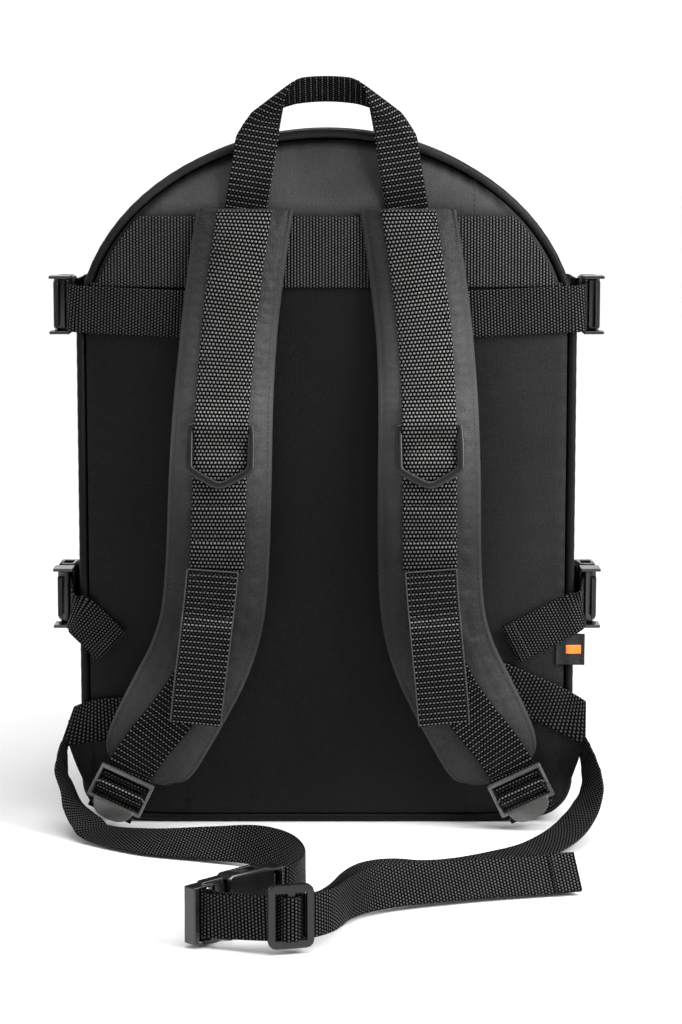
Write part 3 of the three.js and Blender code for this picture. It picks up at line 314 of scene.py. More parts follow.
BELT_TAIL = (
    (0.0045, -0.393, 0.022, 0, 0, 1),
    (0.0105, -0.375, 0.0205, 0, 0, 1),
    (0.0165, -0.351, 0.0178, 0, 0, 1),
    (0.029, -0.329, 0.0164, -0.1, 0.2, 0.97),
    (0.054, -0.312, 0.0154, -0.15, 0.4, 0.9),
    (0.099, -0.293, 0.0134, -0.2, 0.6, 0.77),
    (0.14, -0.282, 0.013, -0.15, 0.62, 0.76),
    (0.163, -0.276, 0.013, -0.15, 0.62, 0.76),
)
SLIDER_CENTRE = (-0.02, -0.411, 0.022)
SLIDER_ALONG = (0.97, 0.24, 0)
WAIST_CENTRE = (-0.076, -0.395, 0.0206)
WAIST_ALONG = (0.7, 0.714, 0)
WAIST_LENGTH = 0.066
# Webbing at the slider and the waist buckle: distance along their frame and out of it
SLIDER_WEAVE = ((-0.016, -0.0034), (-0.009, -0.0034), (-0.006, 0), (-0.003, 0.0033),
                (0.003, 0.0033), (0.006, 0), (0.009, -0.0034), (0.016, -0.0034))
SLIDER_BEHIND = ((0.016, -0.0059), (0, -0.0059), (-0.016, -0.0059))
BAR_WRAP = ((0.003, -0.0043), (-0.0004, -0.0042), (-0.0018, -0.0025), (-0.0018, 0.002),
            (-0.0009, 0.005), (0.002, 0.012))
SLOT_ENTRY = ((0.0088, 0.0095), (0.0076, 0.004), (0.0076, -0.002))
SOCKET_ENTRY = ((0.006, -0.0064), (-0.001, -0.0082), (-0.0042, -0.0079), (-0.0061, -0.0062),
                (-0.0061, 0.0045))
# Outer bar of the waist tongue: edges of its columns and rows, its slot and half its thickness
WAIST_BAR = ((-0.0075, -0.0031, 0.009), (-0.0178, -0.0158, 0.0158, 0.0178), ((1, 1),), 0.0048)
SLIDER_SQUASH = 0.91
SLIDER_LEVEL = 0.016
SLIDER_EDGE = 0.0011
WAIST_BAR_EDGE = 0.0012
# Doubled ends: length, lift off the strap in webbing thicknesses, sewn rows, and height of the thread
BELT_FOLD = (0.018, 1.12, (3,), 0.001)
STRAP_FOLD = (0.0095, 1.1, (2, -3), 0.0008)

# How much paler the cloth is where light is painted on it
PAINTED_LIGHT_GAIN = 15.0
# Painted light and shade on a shoulder pad: height, and share of painted light there
PAD_PAINTED_LIGHT = ((0.04, 0.13), (0.1, 0.13), (0.135, 0.06), (0.15, 0.04), (0.195, 0.04), (0.225, 0.08),
            (0.245, 0.16), (0.262, 0.32), (0.31, 0.35), (0.34, 0.3), (0.365, 0.2), (0.39, 0.11),
            (0.436, 0.06))
# Painted light and shade on the webbing's picks: height, and change of their brightness there
# Painted highlight on the row where the tab bends out below its sewn box, with darker picks in the box
TAB_PAINTED_LIGHT = ((0.148, -0.05), (0.151, 0.9), (0.1545, 0.9), (0.157, -0.3))
# Painted shade over the lower webbing
LOWER_PAINTED_SHADE = ((0.05, -0.3), (0.15, -0.3))
# Painted shade at the handle's feet and along its top
HANDLE_PAINTED_SHADE = ((0.446, -0.55), (0.46, 0.0), (0.495, 0.0), (0.51, -0.35))
# Painted light on the strap's upper part and painted shade lower down
STRAP_PAINTED_LIGHT = ((0.19, -0.3), (0.225, -0.2), (0.245, -0.05), (0.262, 0.45), (0.33, 0.45), (0.37, 0.3),
              (0.435, -0.05))

# Depth of the soft folds of each cloth
PANEL_FOLD = 0.0016
WALL_FOLD = 0.0022
FRONT_FOLD = 0.0026
WING_FOLD = 0.0016
PAD_FOLD = 0.001
CREASE_DEPTH = 0.0014
# Uneven waves: frequency along the first and the second length, and seed
PANEL_WAVES = (30, 14, 2)
SLACK_WAVES = (55, 40, 8)
PANEL_LIGHT_WAVES = (24, 60, 3)
PIPING_WAVES = (40, 60, 5)
WALL_WAVES = (26, 30, 5)
FRONT_WAVES = (17, 15, 3)
WING_WAVES = (120, 60, 4)
CREASE_WAVES = (150, 1, 7)
PAD_WAVES = (42, 3, 6)
PAD_LIGHT_WAVES = (70, 36, 4)
# Slack cloth above the band: height that it takes to sink in, how far, and depth of its folds
SLACK_RANGE = 0.06
SLACK_DEPTH = 0.007
SLACK_FOLD = 0.003

# Studio light: place and aim of the key light, and where the fill and the top light come from
KEY_PLACE = (0.9, -0.7, 0.8)
KEY_AIM = (0.0, -0.1, 0.24)
FILL_FROM = (-1.2, -0.6, 0.9)
TOP_FROM = (0.05, -0.22, 1.2)

# Camera, floor and room
CAMERA_PLACE = (0.010, -1.945, 0.475)
CAMERA_PITCH = math.radians(90 - 7.73)
CAMERA_LENS = 93.16
CAMERA_SENSOR = 36.0
FLOOR_REACH = 30.0
ROOM_BACK = (-0.3, 0.5)
ROOM_BACK_SHARE = 0.15
ROOM_TOP = (0.2, 0.45)

SIDES = ("left", "right")
UP = np.array((0.0, 0.0, 1.0))
AHEAD = np.array((0.0, -1.0, 0.0))
RIGHT = np.array((1.0, 0.0, 0.0))


class BackpackSizes(bpy.types.PropertyGroup):
    """Sizes of the weave, the seams and the padding"""

    web_pitch: bpy.props.FloatProperty(
        name="Webbing pitch", description="Distance between two picks of one row of the webbing",
        default=0.00256, min=0.001, unit="LENGTH", precision=5)
    web_row: bpy.props.FloatProperty(
        name="Webbing row", description="Distance between two rows of picks of the webbing",
        default=0.0026, min=0.001, unit="LENGTH", precision=5)
    fine_weave: bpy.props.FloatProperty(
        name="Fine weave",
        description="Size of the weave of the band, side straps and belt to that of the harness",
        default=0.84, min=0.5, max=1.0)
    rib_row: bpy.props.FloatProperty(
        name="Rib row",
        description="Distance between the rows of the ribbed strips to that of the strap webbing",
        default=0.74, min=0.5, max=1.0)
    web_relief: bpy.props.FloatProperty(
        name="Webbing relief", description="How far a pick stands over or under the middle of its face",
        default=0.0002, min=0.0, unit="LENGTH", precision=5)
    web_core: bpy.props.FloatProperty(
        name="Webbing core", description="Thickness of the webbing between its picks",
        default=0.0013, min=0.0005, unit="LENGTH", precision=5)
    stitch: bpy.props.FloatProperty(
        name="Stitch length", description="Length of one stitch of the seams",
        default=0.0025, min=0.001, unit="LENGTH", precision=4)
    stitch_gap: bpy.props.FloatProperty(
        name="Stitch gap", description="Distance between two stitches",
        default=0.0009, min=0.0002, unit="LENGTH", precision=4)
    thread: bpy.props.FloatProperty(
        name="Thread width", description="Width of the sewing thread",
        default=0.0006, min=0.0002, unit="LENGTH", precision=5)
    groove: bpy.props.FloatProperty(
        name="Seam depth", description="How deep the edge seam pulls into a shoulder pad",
        default=0.0011, min=0.0, unit="LENGTH", precision=5)
    pucker: bpy.props.FloatProperty(
        name="Pucker depth", description="Depth of the small folds along the panel's seam",
        default=0.0007, min=0.0, unit="LENGTH", precision=5)
    puff: bpy.props.FloatProperty(
        name="Puff limit", description="How far the padding may push the cloth of a shoulder pad",
        default=0.0016, min=0.0, unit="LENGTH", precision=5)


class BackpackFinish(bpy.types.PropertyGroup):
    """Colours of the cloth, the webbing, the thread and the mouldings"""

    cloth: bpy.props.FloatVectorProperty(
        name="Body cloth", description="Colour of the plain-weave body cloth",
        default=(0.003, 0.003, 0.0031), size=3, subtype="COLOR")
    pad_cloth: bpy.props.FloatVectorProperty(
        name="Pad cloth", description="Colour of the cloth over the shoulder pads",
        default=(0.0068, 0.0068, 0.007), size=3, subtype="COLOR")
    web_low: bpy.props.FloatVectorProperty(
        name="Webbing hollows", description="Colour between the picks of the webbing",
        default=(0.0018, 0.0018, 0.0018), size=3, subtype="COLOR")
    # The picks' paler colour paints their highlight; the hollows keep the webbing's own dark colour
    web_high: bpy.props.FloatVectorProperty(
        name="Webbing picks", description="Colour of the raised picks of the webbing",
        default=(0.075, 0.075, 0.071), size=3, subtype="COLOR")
    belt_high: bpy.props.FloatVectorProperty(
        name="Belt picks", description="Colour of the raised picks of the belt and the side straps",
        default=(0.022, 0.022, 0.021), size=3, subtype="COLOR")
    thread: bpy.props.FloatVectorProperty(
        name="Thread", description="Colour of the sewing thread",
        default=(0.016, 0.016, 0.0165), size=3, subtype="COLOR")
    # Pale thread of the tab's seams; on the selvedge cord round the tab it also paints the highlight along
    # the tab's edges
    pale_thread: bpy.props.FloatVectorProperty(
        name="Tab thread", description="Colour of the thread and the selvedge of the tabs",
        default=(0.024, 0.024, 0.0228), size=3, subtype="COLOR")
    lock: bpy.props.FloatVectorProperty(
        name="Lock plastic", description="Colour of the satin ladder locks",
        default=(0.05, 0.05, 0.048), size=3, subtype="COLOR")
    gloss: bpy.props.FloatVectorProperty(
        name="Buckle plastic", description="Colour of the half-gloss buckles",
        default=(0.005, 0.005, 0.0053), size=3, subtype="COLOR")
    matte: bpy.props.FloatVectorProperty(
        name="Ring plastic", description="Colour of the matte rings and slider",
        default=(0.002, 0.002, 0.002), size=3, subtype="COLOR")
    tag_bar: bpy.props.FloatVectorProperty(
        name="Tag bar", description="Colour of the bar on the side tag",
        default=(0.85, 0.2, 0.02), size=3, subtype="COLOR")
    floor: bpy.props.FloatVectorProperty(
        name="Floor", description="Colour of the studio floor",
        default=(0.78, 0.78, 0.78), size=3, subtype="COLOR")


class BackpackLight(bpy.types.PropertyGroup):
    """Strength of the studio light"""

    key: bpy.props.FloatProperty(
        name="Key light", description="Power of the broad light at the right",
        default=24.0, min=0.0, unit="POWER")
    key_size: bpy.props.FloatProperty(
        name="Key size", description="Width of the broad light at the right",
        default=0.8, min=0.05, unit="LENGTH")
    fill: bpy.props.FloatProperty(
        name="Fill light", description="Strength of the broad light at the left", default=1.15, min=0.0)
    top: bpy.props.FloatProperty(
        name="Top light", description="Strength of the light over the bag", default=3.0, min=0.0)
    spread: bpy.props.FloatProperty(
        name="Softness", description="Angle that each light fills as seen from the bag",
        default=math.radians(46), min=0.0, max=math.pi, subtype="ANGLE")
    cove: bpy.props.FloatProperty(
        name="White cove", description="Brightness of the pale wall round the studio", default=1.15, min=0.0)
    ceiling: bpy.props.FloatProperty(
        name="Ceiling", description="Brightness of the room overhead", default=0.14, min=0.0)


# Small geometry tools

def unit(v):
    """Vectors scaled to length one."""
    return v / np.maximum(np.linalg.norm(v, axis=-1, keepdims=True), 1e-12)


def catmull(rows, t):
    """Smooth curve through rows, at parameters that count one for each row."""
    rows = np.asarray(rows, float)
    ends = np.vstack([2 * rows[0] - rows[1], rows, 2 * rows[-1] - rows[-2]])
    t = np.clip(np.asarray(t, float), 0, len(rows) - 1)
    i = np.minimum(t.astype(int), len(rows) - 2)
    w = (t - i)[:, None]
    before, start, end, after = ends[i], ends[i + 1], ends[i + 2], ends[i + 3]
    leave, arrive = 0.5 * (end - before), 0.5 * (after - start)
    ease = 3 * w**2 - 2 * w**3
    return start + ease * (end - start) + (w**3 - 2 * w**2 + w) * leave + (w**3 - w**2) * arrive


def arc_lengths(points):
    """Length along a row of points, from its start."""
    steps = np.linalg.norm(np.diff(points, axis=0), axis=1)
    return np.concatenate([[0], np.cumsum(steps)])


def resample(points, count, *others):
    """Even steps along a row of points; other rows follow it."""
    length = arc_lengths(points)
    at = np.linspace(0, length[-1], count)
    out = []
    for rows in (points, *others):
        out.append(np.stack([np.interp(at, length, rows[:, k]) for k in range(rows.shape[1])], axis=1))
    return out[0] if not others else out


def ripple(a, b, waves):
    """Soft uneven waves between -1 and 1 over two running lengths."""
    per_a, per_b, seed = waves
    u, v = per_a * a, per_b * b
    total = 0.0
    for k in range(1, 5):
        turn = 1.7 * seed + 2.4 * k
        total = total + np.sin(k * (u * math.cos(turn) + v * math.sin(turn)) + 3.1 * turn) / k
    return total / 2.1


def swell(a, b, waves):
    """The same waves between 0 and 1."""
    return 0.5 + 0.5 * ripple(a, b, waves)


def fade(value, start, width):
    """Share from 0 to 1 that grows from a start over a width."""
    return np.clip((value - start) / width, 0, 1)


def look_up(table, value):
    """Second column of a table at values of its first."""
    return np.interp(value, *zip(*table))


def outward(ring):
    """Directions out of a closed ring round the pack."""
    run = np.roll(ring, -1, axis=0) - np.roll(ring, 1, axis=0)
    return unit(np.cross(run, AHEAD))


def to_front(normals):
    """Normals turned to the harness side."""
    return normals * -np.sign(normals[..., 1:2])


def grid_normals(grid):
    """Normals of a grid of points."""
    return unit(np.cross(np.gradient(grid, axis=0), np.gradient(grid, axis=1)))


def bump_at(x, centre, width):
    """Smooth hump of height one."""
    return np.exp(-((x - centre) / width) ** 2)


# Shapes are dictionaries of vertices, faces and vertex attributes

def slab(front, back, mask=None, **attributes):
    """Closed sheet between two grids of points, with the cells that the mask leaves open cut out."""
    n, m = front.shape[:2]
    mask = np.ones((n - 1, m - 1), bool) if mask is None else mask
    index, under = np.arange(n * m).reshape(n, m), n * m
    a, b, c, d = index[:-1, :-1], index[:-1, 1:], index[1:, 1:], index[1:, :-1]
    faces = [np.stack([a, b, c, d], -1)[mask], np.stack([a, d, c, b], -1)[mask] + under]
    padded = np.pad(mask, 1)
    for (di, dj), (p, q) in (((-1, 0), (a, b)), ((0, 1), (b, c)), ((1, 0), (c, d)), ((0, -1), (d, a))):
        beside = padded[1 + di:n + di, 1 + dj:m + dj]
        faces.append(np.stack([q, p, p + under, q + under], -1)[mask & ~beside])
    used, faces = np.unique(np.concatenate(faces), return_inverse=True)
    verts = np.concatenate([front.reshape(-1, 3), back.reshape(-1, 3)])[used]
    kept = {key: values[used] for key, values in attributes.items()}
    return facing_out({"verts": verts, "faces": faces.reshape(-1, 4), **kept})


def facing_out(shape):
    """The shape with its faces turned outwards."""
    p = shape["verts"][shape["faces"]]
    flux = np.einsum("ij,ij->i", p[:, 0], np.cross(p[:, 1], p[:, 2]))
    if p.shape[1] == 4:
        flux = flux + np.einsum("ij,ij->i", p[:, 0], np.cross(p[:, 2], p[:, 3]))
    if flux.sum() < 0:
        shape["faces"] = shape["faces"][:, ::-1]
    return shape


def ring_stack(rings, closed=False):
    """Skin over a row of rings; open ends are drawn in to a small ring and capped."""
    rings = list(rings)
    if not closed:
        ends = [np.repeat(r.mean(axis=0, keepdims=True), len(r), axis=0) for r in (rings[0], rings[-1])]
        rings = [ends[0] + 0.02 * (rings[0] - ends[0]), *rings, ends[1] + 0.02 * (rings[-1] - ends[1])]
    rings = np.asarray(rings)
    count, around = rings.shape[:2]
    r = np.arange(count if closed else count - 1)[:, None]
    c = np.arange(around)[None, :]
    after, beside = (r + 1) % count, (c + 1) % around
    corners = (r * around + c, r * around + beside, after * around + beside, after * around + c)
    quads = np.stack(np.broadcast_arrays(*corners), -1).reshape(-1, 4)
    shape = {"verts": rings.reshape(-1, 3), "faces": quads}
    if not closed:
        shape["caps"] = [np.arange(around), np.arange(around) + (count - 1) * around]
    return facing_out(shape)


def joined(shapes):
    """Several shapes of one kind of face as one."""
    verts, faces, start = [], [], 0
    for shape in shapes:
        verts.append(shape["verts"])
        faces.append(shape["faces"] + start)
        start += len(shape["verts"])
    return {"verts": np.concatenate(verts), "faces": np.concatenate(faces)}


def on_side(shape, side, drift=0.0, shift=0.0):
    """The shape on the right, or its mirror image on the left, shifted out and drifting out to its foot."""
    if side == "right":
        return shape
    verts = shape["verts"] * (-1, 1, 1)
    verts[:, 0] -= shift + drift * fade(-verts[:, 2], -DRIFT_TOP, DRIFT_RANGE)
    return {**shape, "verts": verts, "faces": shape["faces"][:, ::-1]}


def new_piece(name, shape, look, replaces=(), body="pack"):
    """Object of a shape, with its finish, its body and the nodes that it stands for."""
    verts, faces = shape["verts"], shape["faces"]
    mesh = bpy.data.meshes.new(name)
    if "caps" in shape or faces.shape[1] == 3:
        polygons = faces.tolist() + [cap.tolist() for cap in shape.get("caps", ())]
        mesh.from_pydata(verts.tolist(), [], polygons)
    else:
        mesh.vertices.add(len(verts))
        mesh.vertices.foreach_set("co", np.ascontiguousarray(verts, np.float32).ravel())
        mesh.loops.add(faces.size)
        mesh.loops.foreach_set("vertex_index", np.ascontiguousarray(faces, np.int32).ravel())
        mesh.polygons.add(len(faces))
        mesh.polygons.foreach_set("loop_start", np.arange(0, faces.size, faces.shape[1], dtype=np.int32))
        mesh.update(calc_edges=True)
    # Share of painted light and shade, which the finishes read
    if "worn" in shape:
        worn = mesh.attributes.new("worn", "FLOAT", "POINT")
        worn.data.foreach_set("value", np.ascontiguousarray(shape["worn"], np.float32))
    if "weave" in shape:
        weave = mesh.attributes.new("weave", "FLOAT_VECTOR", "POINT")
        weave.data.foreach_set("vector", np.ascontiguousarray(shape["weave"], np.float32).ravel())
    mesh.validate()
    if "caps" in shape:
        tidy_mesh(mesh)
    mesh.shade_smooth()
    mesh.materials.append(finish(look))
    obj = bpy.data.objects.new(name, mesh)
    return enlist(obj, replaces, body)


def tidy_mesh(mesh):
    """Consistent outward faces on a small mesh."""
    work = bmesh.new()
    work.from_mesh(mesh)
    bmesh.ops.recalc_face_normals(work, faces=work.faces)
    work.to_mesh(mesh)
    work.free()


def enlist(obj, replaces, body):
    """Puts an object in the scene, on its body."""
    bpy.context.scene.collection.objects.link(obj)
    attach(obj, body)
    if replaces:
        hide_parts(*replaces)
    return obj


# Body surfaces

def corner_lift(x, z):
    """How far the soft bottom corners lift off the floor."""
    share = fade(np.abs(x), LIFT_START, LIFT_END - LIFT_START)
    return CORNER_LIFT * share**2 * np.clip(1 - z / STRAIGHT_TOP, 0, 1)


def body_outline(inset, floor):
    """Body outline in the XZ plane moved in by an inset, from the middle of its base to the right."""
    half, rise = HALF_WIDTH - inset, ARCH_RISE - inset
    corner = max(CORNER - max(inset, 0), 0.006)
    turn = np.linspace(0, math.pi / 2, 16)
    arch = np.linspace(0, math.pi / 2, 120)
    across = np.linspace(0, half - corner, 40)
    up = np.linspace(floor + corner, STRAIGHT_TOP, 60)
    right = np.concatenate([
        np.stack([across, np.full(40, floor)], 1),
        np.stack([half - corner + corner * np.sin(turn), floor + corner * (1 - np.cos(turn))], 1)[1:],
        np.stack([np.full(60, half), up], 1)[1:],
        np.stack([half * np.cos(arch), STRAIGHT_TOP + rise * np.sin(arch)], 1)[1:],
    ])
    loop = np.concatenate([right, right[-2::-1] * (-1, 1)])
    return resample(loop, RING_COUNT + 1)[:-1]


def body_ring(inset, y, floor=None):
    """Outline ring in space with its bottom corners lifted."""
    flat = body_outline(inset, max(inset, 0) if floor is None else floor)
    x, z = flat[:, 0], flat[:, 1]
    return np.stack([x, np.full_like(x, y), z + corner_lift(x, z)], 1)


def inset_at(x, z):
    """Distance of points of the XZ plane from the body outline."""
    x, z = np.broadcast_arrays(np.asarray(x, float), np.asarray(z, float))
    low = np.full(x.shape, -0.02)
    high = np.full(x.shape, ARCH_RISE - 0.001)
    for _ in range(34):
        middle = (low + high) / 2
        reach = (x / (HALF_WIDTH - middle)) ** 2 + ((z - STRAIGHT_TOP) / (ARCH_RISE - middle)) ** 2
        low = np.where(reach < 1, middle, low)
        high = np.where(reach < 1, high, middle)
    return np.where(z > STRAIGHT_TOP, low, np.minimum(HALF_WIDTH - np.abs(x), z))


def panel_face(x, z):
    """Depth of the padded back's outer face."""
    return BACK_Y - look_up(CROWN, inset_at(x, z))


def panel_cloth(x, z):
    """Depth of the padded back with its soft folds and the slack cloth above the band."""
    folds = PANEL_FOLD * swell(x, z, PANEL_WAVES) * fade(inset_at(x, z), PANEL_EDGE, 0.03)
    over = fade(z, BAND_HIGH, SLACK_RANGE)
    slack = SLACK_DEPTH * over**1.2 + SLACK_FOLD * over * swell(x, z, SLACK_WAVES)
    return panel_face(x, z) + folds + slack


def gusset_inset(y):
    """Distance of the side wall inside the outline."""
    depths, insets = zip(*GUSSET)
    spot = np.interp(y, depths, np.arange(len(depths)))
    return float(catmull(np.array(insets)[:, None], np.atleast_1d(spot))[0, 0])


def back_panel():
    """Padded back with seam puckers, bottom pleats and soft folds."""
    sizes = bpy.context.scene.backpack_sizes
    edge = body_ring(CROWN[0][0], 0)[:, (0, 2)]
    shares = 1 - 0.99 * np.linspace(1, 0, PANEL_RINGS) ** 1.6
    around = np.linspace(0, 2 * math.pi, RING_COUNT, endpoint=False)
    rings = []
    for share in shares:
        flat = PANEL_MIDDLE + share * (edge - PANEL_MIDDLE)
        x, z = flat[:, 0], flat[:, 1]
        inset = inset_at(x, z)
        y = panel_cloth(x, z)
        teeth = 0.5 + 0.5 * np.sin(PUCKERS * around + 2.5 * np.sin(9 * around))
        y = y + sizes.pucker * teeth * np.exp(-(inset - CROWN[0][0]) / PUCKER_REACH)
        for pleat in PLEATS:
            fold = PLEAT_FOLD[0] * bump_at(x, pleat, PLEAT_FOLD[1])
            beside = PLEAT_SWELL[0] * bump_at(x, pleat + 0.004, PLEAT_SWELL[1])
            y = y + fade(-z, -PLEAT_TOP, 0.02) * (fold - beside)
        depth, below, width = BAND_CREASE
        y = y - depth * bump_at(z, BAND_LOW - below, width) * fade(inset, PANEL_EDGE, 0.02)
        rings.append(np.stack([x, y, z], 1))
    rings.append(np.stack([edge[:, 0], np.full(RING_COUNT, PANEL_INNER), edge[:, 1]], 1))
    rings.append(np.stack([edge[:, 0] * 0.5, np.full(RING_COUNT, PANEL_INNER), 0.11 + edge[:, 1] * 0.5], 1))
    shape = ring_stack(rings)
    x, z = shape["verts"][:, 0], shape["verts"][:, 2]
    # Painted light: the back is made unevenly paler above its band, where the top light falls, and towards
    # its right, where the key light falls
    uneven = 0.75 + 0.25 * ripple(x, z, PANEL_LIGHT_WAVES)
    away = fade(inset_at(x, z), 0.006 + 0.004 * uneven, 0.005)
    above = fade(z, BAND_HIGH - 0.004, 0.014) * away
    right = fade(x, 0.085, 0.06)
    shape["worn"] = uneven * np.maximum(TOP_PAINTED_LIGHT * above, RIGHT_PAINTED_LIGHT * right)
    return shape


def piping():
    """Corded edge round the back, drawn in a little at each stitch."""
    path = body_ring(PIPING_RADIUS, PIPING_Y, PIPING_RADIUS + 0.0005)
    out = outward(path)
    turns = np.arange(RING_COUNT) * 2 * math.pi * PIPING_STITCHES / RING_COUNT
    pull = 1 - 0.05 * (0.5 + 0.5 * np.sin(turns))
    rings = []
    for angle in np.linspace(0, 2 * math.pi, 14, endpoint=False):
        ring = path + out * (PIPING_RADIUS * math.cos(angle) * pull)[:, None]
        ring[:, 1] += PIPING_RADIUS * math.sin(angle) * pull
        rings.append(ring)
    shape = ring_stack(rings, closed=True)
    x, z = shape["verts"][:, 0], shape["verts"][:, 2]
    # Painted light along the piping's upper arch, where the top light falls
    shape["worn"] = 0.3 * fade(z, 0.4, 0.05) * (0.7 + 0.3 * ripple(x, z, PIPING_WAVES))
    return shape


def gusset():
    """Side, top and base wall, with a sunk channel for the zip and slack cloth between its seams."""
    depths = np.unique(np.concatenate([
        np.linspace(GUSSET[0][0], GUSSET[-1][0], 54),
        ZIP_NEAR - ZIP_ROWS,
        ZIP_FAR + ZIP_ROWS,
    ]))
    outer, inner = [], []
    for y in depths:
        ring = body_ring(gusset_inset(y), y, 0.0)
        out = outward(ring)
        length = np.arange(RING_COUNT) * 0.0031
        slack = math.sin(math.pi * (y - GUSSET[0][0]) / (GUSSET[-1][0] - GUSSET[0][0]))
        above = fade(ring[:, 2], 0.004, 0.02)
        depth = WALL_FOLD * slack * swell(length, y, WALL_WAVES) * above
        seam = math.exp(-(y - GUSSET[0][0]) / 0.006) + math.exp(-(GUSSET[-1][0] - y) / 0.006)
        depth = depth + 0.0006 * seam * above * (0.5 + 0.5 * np.sin(520 * length))
        in_channel = ZIP_NEAR - 0.0002 <= y <= ZIP_FAR + 0.0002
        lip, off, width = ZIP_LIP
        beside = bump_at(y, ZIP_NEAR - off, width) + bump_at(y, ZIP_FAR + off, width)
        zipped = fade(ring[:, 2], ZIP_LOW, 0.004)
        calm = 1 - zipped * math.exp(-(max(ZIP_NEAR - y, y - ZIP_FAR, 0) / 0.008) ** 2)
        depth = depth * calm + zipped * (ZIP_SUNK * in_channel - lip * beside)
        outer.append(ring - out * depth[:, None])
        inner.append(ring - out * np.maximum(depth + 0.0006, WALL)[:, None])
    return ring_stack(outer + inner[::-2], closed=True)


def front_panel():
    """Plain domed front, a shell with its edge turned in."""
    edge = body_ring(FRONT[0][0], 0, 0.0)[:, (0, 2)]
    outer, inner = [], []
    for t in np.linspace(1, 0, 61):
        flat = PANEL_MIDDLE + (1 - 0.995 * t**2.2) * (edge - PANEL_MIDDLE)
        x, z = flat[:, 0], flat[:, 1]
        inset = np.minimum(inset_at(x, z), z + FRONT[0][0])
        y = look_up(FRONT, inset)
        soft = fade(inset, 0.01, 0.05)
        y = y - FRONT_FOLD * soft * swell(x, z, FRONT_WAVES)
        outer.append(np.stack([x, y, z], 1))
        shrunk = PANEL_MIDDLE + (flat - PANEL_MIDDLE) * 0.988
        inner.append(np.stack([shrunk[:, 0], y - (WALL if t else 0.0), np.maximum(shrunk[:, 1], WALL)], 1))
    return ring_stack(outer + inner[::-3])


def zip_arch(y, rise=0.0):
    """The side wall's line above the ends of the zip, at a depth, raised by a height."""
    ring = body_ring(gusset_inset(y) - rise, y, 0.0)
    return resample(ring[ring[:, 2] > ZIP_LOW], ZIP_STATIONS)


def zip_tape():
    """Zip tape lying in its channel."""
    depths = np.linspace(ZIP_NEAR + 0.0003, ZIP_FAR - 0.0003, 13)
    return slab(*(np.stack([zip_arch(y, face) for y in depths], axis=1) for face in ZIP_TAPE_FACES))


BOX_FACES = np.array([(0, 1, 3, 2), (4, 6, 7, 5), (0, 4, 5, 1), (2, 3, 7, 6), (0, 2, 6, 4), (1, 5, 7, 3)])


def zip_teeth():
    """Meshed teeth, alternately from the two sides."""
    middle = (ZIP_NEAR + ZIP_FAR) / 2
    low, high = [resample(zip_arch(middle, face), TEETH) for face in TOOTH_FACES]
    along = unit(np.gradient(low, axis=0)) * TOOTH_HALF
    far, near = TOOTH_REACH
    shapes = []
    for k in range(4, TEETH - 4):
        reach = (-far, near) if k % 2 else (-near, far)
        corners = []
        for base, top in ((low, 0), (high, 1)):
            inward = 0.0003 * top
            for y in (reach[0] + inward, reach[1] - inward):
                for way in (-1, 1):
                    corners.append(base[k] + way * along[k] * (1 - 0.3 * top) + (0, y, 0))
        shapes.append({"verts": np.array(corners), "faces": BOX_FACES})
    return joined(shapes)


# Webbing

def woven(points, normals, mask=None):
    """Woven sheet over a grid of points half a pitch apart, with staggered rows of picks on both faces."""
    sizes = bpy.context.scene.backpack_sizes
    n, m = points.shape[:2]
    i, j = np.indices((n, m))
    check = np.cos(math.pi * i / 2) * np.cos(math.pi * j)
    from_edge = np.minimum(j, m - 1 - j)
    from_end = np.minimum(i, n - 1 - i)
    check = np.where((from_edge == 0) | (from_end == 0), 0.25 * check, check)
    full = np.interp(from_edge, (0, 1), (0.8, 1.0)) * np.interp(from_end, (0, 1), (0.9, 1.0))
    half = 0.5 * sizes.web_core * full
    lift = sizes.web_relief * check
    front = points + normals * (half + lift)[..., None]
    back = points - normals * (half - lift)[..., None]
    turns = np.stack([i / 4, j / 2, np.ones((n, m))], -1).reshape(-1, 3)
    return slab(front, back, mask, weave=np.concatenate([turns, turns * (1, 1, -1)]))


def weave_steps(length, across=False, fine=False):
    """Number of grid points along or across a strip, half a pitch apart."""
    sizes = bpy.context.scene.backpack_sizes
    shares = {False: 1.0, True: sizes.fine_weave, "rib": 1.0 if across else sizes.rib_row}
    pitch = (sizes.web_pitch if across else sizes.web_row) * shares[fine]
    return max(int(round(2 * length / pitch)) + 1, 4)


def strip_line(rows, across, fine=False):
    """Even stations along a smooth route: points, directions across and normals."""
    rows, across = np.asarray(rows, float), np.asarray(across, float)
    t = np.linspace(0, len(rows) - 1, 40 * len(rows))
    points, over = catmull(rows, t), catmull(across, t)
    points, over = resample(points, weave_steps(arc_lengths(points)[-1], fine=fine), over)
    along = unit(np.gradient(points, axis=0))
    normals = unit(np.cross(over, along))
    return points, np.cross(along, normals), normals


def flat_weave(points, over, normals, width, fine):
    """Flat webbing over a row of points. Also gives the distances of its picks from the middle."""
    t = np.linspace(-width / 2, width / 2, weave_steps(width, True, fine))
    grid = points[:, None] + over[:, None] * t[None, :, None]
    return woven(grid, np.broadcast_to(normals[:, None], grid.shape)), t


def woven_strip(rows, across, width, fine=False):
    """Flat webbing along a route. Also gives the route's even points."""
    line = strip_line(rows, across, fine)
    return flat_weave(*line, width, fine)[0], line[0]


def toned(shape, table):
    """The shape with painted light and shade on its picks, by height."""
    shape["worn"] = look_up(table, shape["verts"][:, 2])
    return shape


def woven_patch(x, z, depth, mask=None):
    """Webbing that lies on a surface y = depth(x, z), over a grid of x and z."""
    points = np.stack([x, depth(x, z), z], -1)
    return woven(points, to_front(grid_normals(points)), mask)


